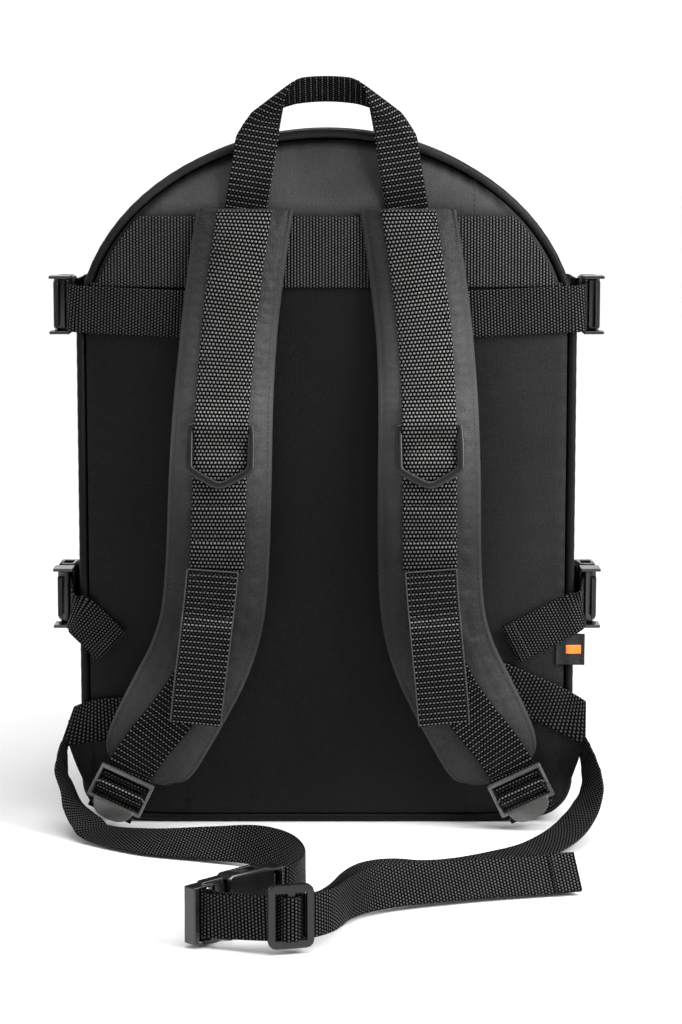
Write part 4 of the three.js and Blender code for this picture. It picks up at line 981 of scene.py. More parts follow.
def stitches(points, normals):
    """Row of stitches along a line on a surface."""
    sizes = bpy.context.scene.backpack_sizes
    length = arc_lengths(points)[-1]
    count = max(int(length / (sizes.stitch + sizes.stitch_gap)), 1)
    points, normals = resample(points, 2 * count + 1, normals)
    along = unit(np.gradient(points, axis=0))[1::2]
    normals = unit(normals)[1::2]
    side = np.cross(normals, along)
    middle = points[1::2]
    reach, wide = along * (sizes.stitch / 2), side * (sizes.thread / 2)
    high = normals * (sizes.thread * 0.7)
    low = normals * (-sizes.thread * 0.35)
    corners = [-reach + low, wide, high, -wide, low, reach + low]
    verts = (middle[:, None] + np.stack(corners, axis=1)).reshape(-1, 3)
    pattern = np.array([(0, 2, 1), (0, 3, 2), (0, 4, 3), (0, 1, 4),
                        (5, 1, 2), (5, 2, 3), (5, 3, 4), (5, 4, 1)])
    faces = (np.arange(count)[:, None, None] * len(corners) + pattern[None]).reshape(-1, 3)
    return {"verts": verts, "faces": faces}


def top_band():
    """Wide webbing across the panel, its ends trimmed to the arch."""
    x = np.linspace(-BAND_END, BAND_END, weave_steps(2 * BAND_END, fine=True))
    z = np.linspace(BAND_LOW, BAND_HIGH, weave_steps(BAND_HIGH - BAND_LOW, True, True))
    share = np.minimum(np.abs(x) / (HALF_WIDTH - BAND_TRIM), 1)
    arch = STRAIGHT_TOP + (ARCH_RISE - BAND_TRIM) * np.sqrt(1 - share**2)
    top = np.maximum(arch, BAND_LOW + BAND_LEAST)[:, None]
    grid_x, grid_z = np.meshgrid(x, z, indexing="ij")
    below = grid_z < top - 0.0004
    mask = below[:-1, :-1] & below[1:, :-1]
    grid_z = np.minimum(grid_z, top)
    return woven_patch(grid_x, grid_z, lambda a, b: panel_face(a, b) - BAND_OFF - WEB / 2, mask)


def grab_handle():
    """Webbing loop: each leg folds back at its shoulder and runs on to the middle, tipped forward."""
    foot, fold = np.array(HANDLE_FOOT), np.array(HANDLE_FOLD)
    rise = np.linalg.norm(fold - foot)
    up = (fold - foot) / rise
    inner = np.array((up[2], 0, -up[0]))
    flip, lean = -math.cos(HANDLE_TURN), up[2] / up[0]
    slope = (math.sqrt((1 + flip) ** 2 + 4 * flip * lean**2) - 1 - flip) / (2 * flip * lean)
    axis = unit(np.array((1, 0, slope)))
    away, behind = np.array((-axis[2], 0, axis[0])), np.array((0, 1, 0))
    turned = away * math.cos(HANDLE_TURN) + behind * math.sin(HANDLE_TURN)
    run = (up @ axis) * axis + (up @ away) * turned
    across = (inner @ axis) * axis + (inner @ away) * turned

    def folded(s, w):
        a = s * (up @ axis) + w * (inner @ axis)
        b = s * (up @ away) + w * (inner @ away)
        bend = np.clip(b / HANDLE_RADIUS, 0, HANDLE_TURN)
        past = np.maximum(b - HANDLE_RADIUS * HANDLE_TURN, 0)[..., None]
        reach = (np.minimum(b, 0) + HANDLE_RADIUS * np.sin(bend))[..., None]
        depth = (HANDLE_RADIUS * (1 - np.cos(bend)))[..., None]
        return fold + a[..., None] * axis + reach * away + depth * behind + past * turned

    start = folded(np.array(HANDLE_FLAT), np.array(0.0))
    arc = math.acos(run[0])
    to_middle = unit(np.array((1, 0, 0)) - run[0] * run)
    radius = -start[0] / math.sin(arc)
    length = HANDLE_FLAT + radius * arc
    s = np.linspace(-rise, length, weave_steps(rise + length, fine="rib"))[:, None]
    w = np.linspace(-HANDLE_WIDTH / 2, HANDLE_WIDTH / 2, weave_steps(HANDLE_WIDTH, True))[None]
    offset = folded(*np.broadcast_arrays(s, w)) - start
    ahead, aside, over = offset @ run, offset @ to_middle, offset @ across
    turn = np.maximum(ahead, 0) / radius
    along = np.where(ahead > 0, (radius - aside) * np.sin(turn), ahead)
    inward = np.where(ahead > 0, radius - (radius - aside) * np.cos(turn), aside)
    half = start + along[..., None] * run + inward[..., None] * to_middle + over[..., None] * across
    above, depth = half[..., 2] - HANDLE_TIP_Z, half[..., 1] - foot[1]
    tip = np.clip(above / HANDLE_TIP_RADIUS, 0, HANDLE_TIP)
    rest = np.maximum(above - HANDLE_TIP_RADIUS * HANDLE_TIP, 0)
    climb = HANDLE_TIP_RADIUS * np.sin(tip) + rest * math.cos(HANDLE_TIP) + depth * np.sin(tip)
    ahead = HANDLE_TIP_RADIUS * (1 - np.cos(tip)) + rest * math.sin(HANDLE_TIP) - depth * np.cos(tip)
    half[..., 2] = np.where(above > 0, HANDLE_TIP_Z + climb, half[..., 2])
    half[..., 1] = np.where(above > 0, foot[1] - ahead, half[..., 1])
    half[..., 1] -= HANDLE_LEAN * np.maximum(half[..., 2] - HANDLE_LEAN_Z, 0)
    grid = np.concatenate([half, half[-2::-1] * (-1, 1, 1)])
    return toned(woven(grid, grid_normals(grid)), HANDLE_PAINTED_SHADE)


# Shoulder pads

PAD_ROWS = np.array(PAD)
PAD_LINE = np.stack([
    PAD_ROWS[:, 1],
    panel_face(PAD_ROWS[:, 1], PAD_ROWS[:, 0]) - PAD_ROWS[:, 2] - PAD_BACK * PAD_ROWS[:, 4],
    PAD_ROWS[:, 0],
], axis=1)


def pad_frame(share):
    """Centre, direction down, across, out, half width and crown at shares of the pad's line."""
    t = np.atleast_1d(share) * (len(PAD) - 1)
    step = 1e-3
    point = catmull(PAD_LINE, t)
    down = unit(catmull(PAD_LINE, t + step) - catmull(PAD_LINE, t - step))
    across = unit(np.cross(down, AHEAD))
    across = across * np.sign(across[:, :1])
    out = to_front(unit(np.cross(across, down)))
    size = catmull(PAD_ROWS[:, 3:], t)
    return point, down, across, out, size[:, 0], size[:, 1]


def level_top(point, down, across, side):
    """Shift down the pad that levels its top edge, at distances aside of its line."""
    from_top = arc_lengths(point)[:, None]
    tilt = across[:1, 2:] / -down[:1, 2:]
    return side * tilt * np.clip(1 - from_top / 0.03, 0, 1)


def pad_share_at(z):
    """Share of the pad's line at a height."""
    shares = np.linspace(0, 1, 800)
    heights = pad_frame(shares)[0][:, 2]
    return np.interp(-np.asarray(z, float), -heights, shares)


def pad_crown(a):
    """Front profile of the pad over shares of its half width."""
    return np.clip(1 - np.abs(a) ** 2.6, 0, 1) ** 0.6


def pad_face_y(x, z):
    """Depth of the pad's front under points of the XZ plane."""
    point, _, across, _, half, plump = pad_frame(np.linspace(0, 1, 240))
    dx, dz = x - point[:, 0], z - point[:, 2]
    i = int(np.argmin(np.hypot(dx, dz)))
    side = dx[i] * across[i, 0] + dz[i] * across[i, 2]
    return point[i, 1] - plump[i] * float(pad_crown(np.clip(side / half[i], -1, 1)))


def shoulder_pad():
    """Closed padded strap with its edge seams, and the weight that holds each point where it is sewn."""
    sizes = bpy.context.scene.backpack_sizes
    shares = np.linspace(0, 1, 290)
    point, down, across, out, half, plump = pad_frame(shares)
    ends = 5
    turn = np.linspace(0, math.pi / 2, ends + 1)[1:]
    tail = point[-1] + down[-1] * 0.0045 * np.sin(turn)[:, None]
    point = np.vstack([point, tail])
    down, across, out = (np.vstack([v, np.repeat(v[-1:], ends, 0)]) for v in (down, across, out))
    half = np.concatenate([half, half[-1] * np.maximum(np.cos(turn), 0.2)])
    plump = np.concatenate([plump, plump[-1] * np.maximum(np.cos(turn), 0.3)])
    over = np.sin(np.linspace(-math.pi / 2, math.pi / 2, 45))
    under = np.sin(np.linspace(math.pi / 2, -math.pi / 2, 21))[1:-1]
    a = np.concatenate([over, under])
    front = np.arange(len(a)) < len(over)
    seam = bump_at(np.abs(a), PAD_SEAM, 0.022)
    rise = np.where(front, pad_crown(a), -PAD_BACK * np.sqrt(np.clip(1 - np.abs(a) ** 6, 0, 1)))
    length = arc_lengths(point)[:, None]
    pull = sizes.groove * (0.9 + 0.08 * np.sin(2 * math.pi * length / 0.0068 + 2 * np.sin(50 * length)))
    height = plump[:, None] * rise[None] - pull * np.where(front, seam, 0)[None]
    bend = bump_at(point[:, 2], 0.115, 0.05)[:, None]
    loose = fade(np.abs(a), PAD_FLAT, 0.1) * fade(-np.abs(a), -PAD_RIM, 0.1) * front
    creases = swell(length, 12 * np.sign(a)[None] + 2 * a[None], CREASE_WAVES)
    folds = PAD_FOLD * swell(length, a[None], PAD_WAVES)
    height = height - loose[None] * (CREASE_DEPTH * bend * creases + folds)
    aside = half[:, None] * a[None]
    slide = level_top(point, down, across, aside)
    rings = (point[:, None] + across[:, None] * aside[..., None] + down[:, None] * slide[..., None]
             + out[:, None] * height[..., None])
    shape = ring_stack(rings)
    sewn = np.maximum(bump_at(np.abs(a), PAD_SEAM, 0.04), np.abs(a) > PAD_RIM)
    sewn = np.where(front, np.maximum(sewn, np.abs(a) < PAD_FLAT), 1.0)
    weight = np.repeat(sewn[None], len(rings), axis=0)
    weight[:6], weight[-9:] = 1.0, 1.0
    shape["sewn"] = np.concatenate([np.ones(len(a)), weight.ravel(), np.ones(len(a))])
    x, z = shape["verts"][:, 0], shape["verts"][:, 2]
    # Painted sheen along the pad's outer edges, and uneven painted light and shade by height
    edge_sheen = np.where(front, 0.1 * bump_at(np.abs(a), 0.98, 0.03), 0)
    edge_sheen = np.concatenate([np.zeros(len(a)), np.tile(edge_sheen, len(rings)), np.zeros(len(a))])
    shape["worn"] = look_up(PAD_PAINTED_LIGHT, z) * (1 + 0.3 * ripple(x, z, PAD_LIGHT_WAVES)) + edge_sheen
    return shape


def puff_up(shape, limit):
    """Cloth over the padding, blown up by a cloth simulation between its seams."""
    mesh = bpy.data.meshes.new("puff")
    polygons = [*shape["faces"].tolist(), *(cap.tolist() for cap in shape["caps"])]
    mesh.from_pydata(shape["verts"].tolist(), [], polygons)
    tidy_mesh(mesh)
    obj = bpy.data.objects.new("puff", mesh)
    scene = bpy.context.scene
    scene.collection.objects.link(obj)
    sewn = obj.vertex_groups.new(name="sewn")
    for i, weight in enumerate(shape["sewn"]):
        sewn.add([i], float(weight), "REPLACE")
    cloth = obj.modifiers.new("cloth", "CLOTH")
    cloth.settings.vertex_group_mass = "sewn"
    cloth.settings.use_pressure = True
    cloth.settings.uniform_pressure_force = 5.0
    cloth.settings.effector_weights.gravity = 0.0
    cloth.settings.shrink_min = -0.015
    cloth.settings.bending_stiffness = 0.3
    cloth.settings.mass = 0.15
    cloth.collision_settings.use_collision = False
    cloth.collision_settings.use_self_collision = False
    cloth.point_cache.frame_start, cloth.point_cache.frame_end = 1, PUFF_FRAMES
    for number in range(1, PUFF_FRAMES + 1):
        scene.frame_set(number)
    puffed = obj.evaluated_get(bpy.context.evaluated_depsgraph_get())
    moved = np.empty(len(mesh.vertices) * 3, np.float32)
    puffed.data.vertices.foreach_get("co", moved)
    step = moved.reshape(-1, 3) - shape["verts"]
    size = np.linalg.norm(step, axis=1, keepdims=True)
    step = step * np.minimum(1, limit / np.maximum(size, 1e-9)) * (1 - shape["sewn"])[:, None]
    bpy.data.objects.remove(obj)
    bpy.data.meshes.remove(mesh)
    scene.frame_set(1)
    return {**shape, "verts": shape["verts"] + step}


def strap_webbing():
    """Webbing sewn down the pad, raised in a tunnel over the ring's bar."""
    top, low = pad_share_at(STRAP_TOP), pad_share_at(STRAP_LOW)
    shares = np.linspace(top, low, 600)
    length = arc_lengths(pad_frame(shares)[0])
    shares = np.interp(np.linspace(0, length[-1], weave_steps(length[-1])), length, shares)
    point, down, across, out, half, plump = pad_frame(shares)
    away = np.minimum(np.abs(point[:, 2] - RING_Z) / RING_BULGE, 1)
    bulge = 2 * RING_WIRE + RING_CLEAR
    lift = GAP + WEB / 2 + bulge * np.cos(away * math.pi / 2) ** 2
    for z, depth in STRAP_TUCKS:
        lift = lift + TUCK_RISE * bump_at(point[:, 2], z - TUCK_LENGTH, TUCK_LENGTH)
        lift = lift - depth * bump_at(point[:, 2], z, TUCK_WIDTH)
    t = np.linspace(-STRAP_HALF, STRAP_HALF, weave_steps(2 * STRAP_HALF, True))
    crown = pad_crown(t[None] / half[:, None])
    crown = crown + (1 - crown) * np.clip((1 - away) * 6, 0, 1)[:, None]
    height = plump[:, None] * crown + lift[:, None]
    slide = level_top(point, down, across, t[None])
    grid = (point[:, None] + across[:, None] * t[None, :, None] + down[:, None] * slide[..., None]
            + out[:, None] * height[..., None])
    return toned(woven(grid, to_front(grid_normals(grid))), STRAP_PAINTED_LIGHT)


def over_pad(line, width):
    """Route of a strip that lies flat in front of the pad: points and directions across."""
    rows = np.asarray(line, float)
    run = unit(np.gradient(rows[:, :2], axis=0))
    points, across = [], []
    for (x, z, lift), (dx, dz) in zip(rows, run):
        faces = [pad_face_y(x - s * width / 2 * dz, z + s * width / 2 * dx) for s in (-1, 0, 1)]
        points.append((x, min(faces) - lift - WEB / 2, z))
        across.append((-dz, 0, dx))
    return np.array(points), np.array(across)


def ladder_frame():
    """Ladder lock's centre, direction down, out and across."""
    down = unit(np.array(LADDER_DOWN))
    out = unit(np.array((0, -1, 0)) + down * down[1])
    across = unit(np.cross(down, out))
    return np.array(LADDER_CENTRE), down, out, across * np.sign(across[0])


def on_ladder(rows):
    """Places given by distance down the ladder lock and out of it."""
    centre, down, out, _ = ladder_frame()
    return np.array([centre + down * a + out * b for a, b in rows])


def framed_plate(centre, right, down, columns, rows, slots, half):
    """Flat plate over columns and rows, open at its slots."""
    out = unit(np.cross(right, down))
    u, v = np.meshgrid(columns, rows, indexing="ij")
    flat = np.asarray(centre) + u[..., None] * right + v[..., None] * down
    mask = np.ones((len(columns) - 1, len(rows) - 1), bool)
    for i, j in slots:
        mask[i, j] = False
    return slab(flat + out * half, flat - out * half, mask)


def ladder_lock():
    """Plate with two slots for the webbing."""
    centre, down, _, across = ladder_frame()
    return framed_plate(centre, across, down, LADDER_COLUMNS, LADDER_ROWS, LADDER_SLOTS, LADDER_HALF)


def ladder_grip():
    """Half-round plate tipped out from the lock's lower bar."""
    centre, down, out, across = ladder_frame()
    u, v = np.meshgrid(np.linspace(-1, 1, 31), np.linspace(0, 1, 15), indexing="ij")
    reach = np.sin(v * math.pi / 2)
    wide = np.maximum(np.cos(v * math.pi / 2), 0.05) ** 0.8
    fall = LADDER_ROWS[-2] + 0.0008 + GRIP_REACH * reach
    lift = 0.0012 + GRIP_TILT * GRIP_REACH * reach
    flat = centre + (u * wide * GRIP_HALF)[..., None] * across + fall[..., None] * down
    return slab(flat + (lift + 0.0011)[..., None] * out, flat + (lift - 0.0007)[..., None] * out)


def lower_webbing():
    """Webbing from under the tab to the ladder lock."""
    laid, across = over_pad(LOWER_LINE, ADJUST_WIDTH)
    over = ladder_frame()[3]
    across = across * np.sign(across @ over)[:, None]
    threaded = on_ladder(LADDER_TOP_WEB)
    rows = np.vstack([laid, threaded])
    across = np.vstack([across, np.repeat(over[None], len(threaded), 0)])
    return toned(woven_strip(rows, across, ADJUST_WIDTH, "rib")[0], LOWER_PAINTED_SHADE)


def adjust_strap():
    """Strap from the bottom corner, through the ladder lock to its short end."""
    rows = np.vstack([on_ladder(LADDER_THREAD), ADJUST_ANCHOR])
    over = ladder_frame()[3]
    return woven_strip(rows, np.repeat(over[None], len(rows), 0), ADJUST_WIDTH, "rib")[0]


def d_ring():
    """Moulded ring with a straight bar and a V-shaped bottom."""
    point, down, across, out, _, plump = (v[0] for v in pad_frame(pad_share_at(RING_Z)))
    fall = down if down[2] < 0 else -down
    drop = fall * math.cos(RING_LEAN) + out * math.sin(RING_LEAN)
    face = out * math.cos(RING_LEAN) - fall * math.sin(RING_LEAN)
    pivot = point + out * (plump + GAP + RING_WIRE)
    half = np.array(RING_PATH)
    loop = np.vstack([half, half[-2::-1] * (-1, 1)])
    t = np.linspace(0, len(loop) - 1, 150)
    side = catmull(loop, t)
    bar = np.linspace(side[-1], side[0], 16)[1:-1]
    path = np.vstack([side, bar])
    run = unit(np.roll(path, -1, axis=0) - np.roll(path, 1, axis=0))
    middle = pivot + path[:, :1] * across + path[:, 1:] * drop
    normal = run[:, 1:] * across - run[:, :1] * drop
    flat = np.clip(path[:, 1:] / 0.012, 0, 1)
    rings = []
    for angle in np.linspace(0, 2 * math.pi, 20, endpoint=False):
        c, s = math.cos(angle), math.sin(angle)
        square, wider = RING_OUTER if c > 0 else RING_INNER
        wide = math.copysign(abs(c) ** square, c) * RING_WIRE * (0.98 + wider * flat)
        high = math.copysign(abs(s) ** 0.6, s) * RING_WIRE * 0.9
        rings.append(middle + normal * wide + face * high)
    return ring_stack(rings, closed=True)


# Bottom corners, side straps and belt

def wing_skin(x, z):
    """Depth of the panel side of a corner wing."""
    return np.minimum(panel_face(x, np.maximum(z, 0.008)) - WING_LIFT, WING_BACK)


def corner_wing(side):
    """Cloth wing from the bottom corner to the hip webbing."""
    sign, _, tip, tip_z, slope, low = WINGS[side]
    low = np.array(low)
    t = np.linspace(0, len(low) - 1, 60)
    edge = catmull(low, t)
    share = np.linspace(0, 1, 50)
    x = np.repeat(edge[:, :1], 50, axis=1)
    top = tip_z + (tip - x) * slope
    z = edge[:, 1:] + (top - edge[:, 1:]) * share
    folds = WING_FOLD * swell(x, z, WING_WAVES)
    y = wing_skin(x, z) - WEB * 0.6 + folds
    front = np.stack([sign * x, y, z], -1)
    back = np.stack([sign * x, y + WING_WALL, z], -1)
    return slab(front, back)


def hip_webbing(side):
    """Webbing over the corner wing to its tip."""
    sign, start, tip, tip_z, slope, _ = WINGS[side]
    lean = math.hypot(1, slope)
    s = np.linspace(start, tip, weave_steps((tip - start) * lean))
    t = np.linspace(-HIP_WIDTH / 2, HIP_WIDTH / 2, weave_steps(HIP_WIDTH, True)) / lean
    cut, droop = WING_ENDS[side]
    near_tip = fade(s, tip - WING_DROOP, WING_DROOP)[:, None] ** 2
    x = s[:, None] + t[None] * (slope - near_tip * (slope + cut))
    z = tip_z + (tip - s[:, None]) * slope - droop * near_tip + t[None] * (1 + near_tip * (lean**2 - 1))
    return woven_patch(sign * x, z, lambda a, b: wing_skin(a, b) - 1.5 * WEB - GAP)


def rear_route(level, side):
    """Route of a compression strap from its sewn end round the piped edge, through the tongue and back."""
    start, start_z, edge_z, buckle_z = SIDE_STRAPS[level][side]
    lift = 2 * GAP + 1.5 * WEB
    rows = []
    for x in (*(start + (LAID_RUN - start) * share for share in (0, 0.4, 0.8)), LAID_END):
        z = start_z + (edge_z - start_z) * (x - start) / (EDGE_TURN[0][0] - start)
        rows.append((x, min(float(panel_face(x, z)) - lift, LAID_FRONT), z))
    rows += [(x, y, edge_z + share * (buckle_z - edge_z)) for x, y, share in EDGE_TURN]
    rows += [(BUCKLE_X + dx, BUCKLE_Y + dy, buckle_z) for dx, dy in TONGUE_TURN]
    return np.array(rows), np.repeat(UP[None], len(rows), 0)


def sewn_fold(rows, across, width, fold, at_end):
    """Doubled start or end of a strap, and its rows of stitches."""
    doubled, lift, sewn, thread = fold
    points, over, normals = strip_line(rows, across, True)
    length = arc_lengths(points)
    keep = (length[-1] - length if at_end else length) < doubled
    facing = to_front(normals)[keep]
    laid, over = points[keep] + facing * (WEB * lift), over[keep]
    shape, t = flat_weave(laid, over, facing, width, True)
    seams = []
    for k in sewn:
        line = laid[k] + over[k] * t[2:-2, None] + facing[k] * thread
        seams.append(stitches(line, np.repeat(facing[k][None], len(line), 0)))
    return shape, joined(seams)


def front_strap(level):
    """Webbing of a compression strap from its socket along the side to the front seam."""
    buckle_z = SIDE_STRAPS[level]["right"][3]
    bar, end = BUCKLE_X, BUCKLE_Y + BUCKLE_LENGTH

    def wall(y):
        return HALF_WIDTH - gusset_inset(y) + GAP + WEB / 2 + 0.0003

    rows = [(bar + dx, end + dy) for dx, dy in SOCKET_TURN]
    rows.append((max(wall(end + 0.008), rows[-1][0]), end + 0.008))
    rows += [(wall(y) + lift, y) for y, lift in WALL_RUN]
    rows = np.array([(x, y, buckle_z) for x, y in rows])
    return woven_strip(rows, np.repeat(UP[None], len(rows), 0), SIDE_WIDTH[level], True)[0]


def standing(centre, along, rows):
    """Belt route rows given by distance along an upright frame and out of it."""
    centre, right = np.array(centre), unit(np.array(along))
    out = np.cross(right, UP)
    return [(*(centre + right * a + out * b), 0, 0, 1) for a, b in rows]


def belt_routes():
    """Whole routes of the left strap, the right strap and the free end."""
    socket = [(WAIST_LENGTH + a, b) for a, b in SOCKET_ENTRY]
    left = [*BELT_LEFT, *standing(WAIST_CENTRE, WAIST_ALONG, socket)]
    right = [*BELT_RIGHT, *standing(SLIDER_CENTRE, SLIDER_ALONG, SLIDER_BEHIND),
             *standing(WAIST_CENTRE, WAIST_ALONG, SLOT_ENTRY)]
    tail = [*standing(WAIST_CENTRE, WAIST_ALONG, BAR_WRAP),
            *standing(SLIDER_CENTRE, SLIDER_ALONG, SLIDER_WEAVE), *BELT_TAIL]
    return {"left": np.array(left), "right": np.array(right), "tail": np.array(tail)}


# Finishes: scale of the noise in the cloth, the webbing, the mouldings and the thread

SLUB_GRAIN = 1300
TONE_GRAIN = 14
FOLD_GRAIN = 30
YARN_GRAIN = 1500
FADE_GRAIN = 55
MOULD_GRAIN = 1800
MARK_GRAIN = 70
TWIST_GRAIN = 2600
# Thread noise: scale along each axis, one row for each direction of the threads
THREAD_GRAIN = ((1500, 90, 90), (90, 1500, 90), (90, 90, 1500))


def map_range(tree, value, start, end):
    """Node output of a value moved from one range to another."""
    made = tree.nodes.new("ShaderNodeMapRange")
    for key, limit in zip(("From Min", "From Max", "To Min", "To Max"), (*start, *end)):
        made.inputs[key].default_value = limit
    tree.links.new(value, made.inputs["Value"])
    return made.outputs["Result"]


class NodeBoard:
    """Short ways to lay out a material's nodes."""

    def __init__(self, name):
        self.material = bpy.data.materials.new(name)
        self.material.use_nodes = True
        self.tree = self.material.node_tree
        self.shader = self.tree.nodes["Principled BSDF"]

    def node(self, kind, **settings):
        made = self.tree.nodes.new(kind)
        for key, value in settings.items():
            if key in made.inputs:
                made.inputs[key].default_value = value
            else:
                setattr(made, key, value)
        return made

    def link(self, start, end):
        self.tree.links.new(start, end)

    def set(self, **values):
        for key, value in values.items():
            self.shader.inputs[key.replace("_", " ")].default_value = value

    def place(self):
        return self.node("ShaderNodeTexCoord").outputs["Object"]

    def noise(self, scale, detail=3.0, rough=0.55):
        made = self.node("ShaderNodeTexNoise", Scale=scale, Detail=detail, Roughness=rough)
        self.link(self.place(), made.inputs["Vector"])
        return made.outputs["Fac"]

    def ramp(self, value, low, high, start=0.3, end=0.7):
        made = self.node("ShaderNodeValToRGB")
        made.color_ramp.elements[0].position, made.color_ramp.elements[1].position = start, end
        made.color_ramp.elements[0].color = (*low, 1)
        made.color_ramp.elements[1].color = (*high, 1)
        self.link(value, made.inputs["Fac"])
        return made.outputs["Color"]

    def math(self, operation, *values):
        made = self.node("ShaderNodeMath", operation=operation)
        for socket, value in zip(made.inputs, values):
            if isinstance(value, (int, float)):
                socket.default_value = value
            else:
                self.link(value, socket)
        return made.outputs[0]

    def into(self, value, socket):
        self.link(value, self.shader.inputs[socket])

    def tint(self, value, colour, low, high):
        """Base colour between a low and a high share of a colour."""
        self.into(self.ramp(value, [low * c for c in colour], [high * c for c in colour]), "Base Color")

    def rough(self, value, low, high):
        self.into(map_range(self.tree, value, (0, 1), (low, high)), "Roughness")

    def attribute(self, name, output="Fac"):
        return self.node("ShaderNodeAttribute", attribute_name=name).outputs[output]

    def bump(self, height, distance, strength):
        made = self.node("ShaderNodeBump", Distance=distance, Strength=strength)
        self.link(height, made.inputs["Height"])
        self.into(made.outputs["Normal"], "Normal")


def threads(board):
    """Height of uneven threads that cross on faces of any direction."""
    total = None
    for stretch in THREAD_GRAIN:
        scaled = board.node("ShaderNodeMapping", vector_type="POINT")
        scaled.inputs["Scale"].default_value = stretch
        board.link(board.place(), scaled.inputs["Vector"])
        noise = board.node("ShaderNodeTexNoise", Scale=1.0, Detail=1.0)
        board.link(scaled.outputs["Vector"], noise.inputs["Vector"])
        total = noise.outputs["Fac"] if total is None else board.math("ADD", total, noise.outputs["Fac"])
    return total


def cloth_finish(name, colour, sheen, gloss, rough):
    """Plain-weave polyester with a soft sheen, slubs and uneven tone, made paler where light is painted on
    it.
    """
    board = NodeBoard(name)
    slub = board.noise(SLUB_GRAIN, 2.0)
    tone = board.noise(TONE_GRAIN, 4.0)
    mixed = board.math("ADD", board.math("MULTIPLY", slub, 0.45), board.math("MULTIPLY", tone, 0.55))
    # Painted light: the colour blends towards a paler copy by the mesh's share of painted light
    blend = board.node("ShaderNodeMix", data_type="RGBA")
    board.link(board.attribute("worn"), blend.inputs[0])
    for socket, pale in ((6, 1.0), (7, PAINTED_LIGHT_GAIN)):
        dark, light = [pale * 0.62 * c for c in colour], [pale * 1.5 * c for c in colour]
        board.link(board.ramp(mixed, dark, light), blend.inputs[socket])
    board.into(blend.outputs[2], "Base Color")
    board.rough(tone, rough - 0.06, rough + 0.08)
    board.set(Sheen_Weight=sheen, Sheen_Roughness=0.45)
    shine = map_range(board.tree, slub, (0.36, 0.64), (0.7 * gloss, 1.3 * gloss))
    board.into(shine, "Specular IOR Level")
    height = board.math("ADD", threads(board), slub)
    height = board.math("ADD", height, board.math("MULTIPLY", board.noise(FOLD_GRAIN, 2.0), 2.0))
    board.bump(height, 0.00022, 0.8)
    return board.material


def webbing_finish(name, high, gap, rib, shine):
    """Filament webbing: shiny picks, painted paler as their highlight, with a dark gap between them, every
    other row sunk into a rib.
    """
    board = NodeBoard(name)
    low = bpy.context.scene.backpack_finish.web_low
    turns = board.node("ShaderNodeSeparateXYZ")
    board.link(board.attribute("weave", "Vector"), turns.inputs[0])
    row, dot = [board.math("COSINE", board.math("MULTIPLY", turns.outputs[k], 2 * math.pi)) for k in (0, 1)]
    stagger = board.math("MULTIPLY", board.math("SIGN", row), turns.outputs[2])
    beside = board.math("MULTIPLY_ADD", board.math("MULTIPLY", dot, stagger), 0.5 * gap, 1 - 0.5 * gap)
    wave = board.math("MULTIPLY", board.math("MULTIPLY", row, row), beside)
    pick = map_range(board.tree, wave, (0.12, 0.62), (0, 1))
    pick.node.interpolation_type = "SMOOTHSTEP"
    if rib:
        pick = board.math("MULTIPLY", pick, board.math("MULTIPLY_ADD", row, 0.5 * rib, 1 - 0.5 * rib))
    yarn = board.noise(YARN_GRAIN, 2.0)
    tone = board.noise(FADE_GRAIN, 3.0)
    uneven = board.math("ADD", board.math("MULTIPLY", yarn, 0.5), board.math("MULTIPLY", tone, 0.9))
    level = board.math("MULTIPLY", pick, uneven)
    # Painted light and shade from the mesh brighten or darken the picks
    painted_brightness = board.math("MULTIPLY", board.math("ADD", board.attribute("worn"), 1.0), 0.8)
    level = board.math("MULTIPLY", level, painted_brightness)
    board.into(board.ramp(level, low, [1.375 * c for c in high], 0.04, 0.92), "Base Color")
    board.rough(pick, 0.8, 0.4)
    board.into(board.math("MULTIPLY", pick, shine), "Specular IOR Level")
    board.bump(board.math("ADD", board.math("MULTIPLY", yarn, 0.3), wave), 0.0004, 0.8)
    return board.material


def plastic_finish(name, colour, rough, coat):
    """Moulded plastic with a fine grain and faint handling marks."""
    board = NodeBoard(name)
    grain, marks = board.noise(MOULD_GRAIN, 2.0), board.noise(MARK_GRAIN, 5.0, 0.65)
    board.tint(marks, colour, 0.8, 1.35)
    board.rough(marks, rough - 0.07, rough + 0.1)
    board.set(Specular_IOR_Level=0.5, Coat_Weight=coat, Coat_Roughness=0.25)
    board.bump(board.math("ADD", grain, marks), 0.00005, 0.6)
    return board.material


def thread_finish(name, colour):
    """Twisted sewing thread."""
    board = NodeBoard(name)
    twist = board.noise(TWIST_GRAIN, 2.0)
    board.tint(twist, colour, 0.6, 1.4)
    board.rough(twist, 0.4, 0.6)
    board.bump(twist, 0.0001, 0.6)
    return board.material


def floor_finish(colour):
    """Pale studio paper."""
    board = NodeBoard("studio_paper")
    board.tint(board.noise(3.0), colour, 0.985, 1.0)
    board.set(Roughness=0.9, Specular_IOR_Level=0.1)
    return board.material


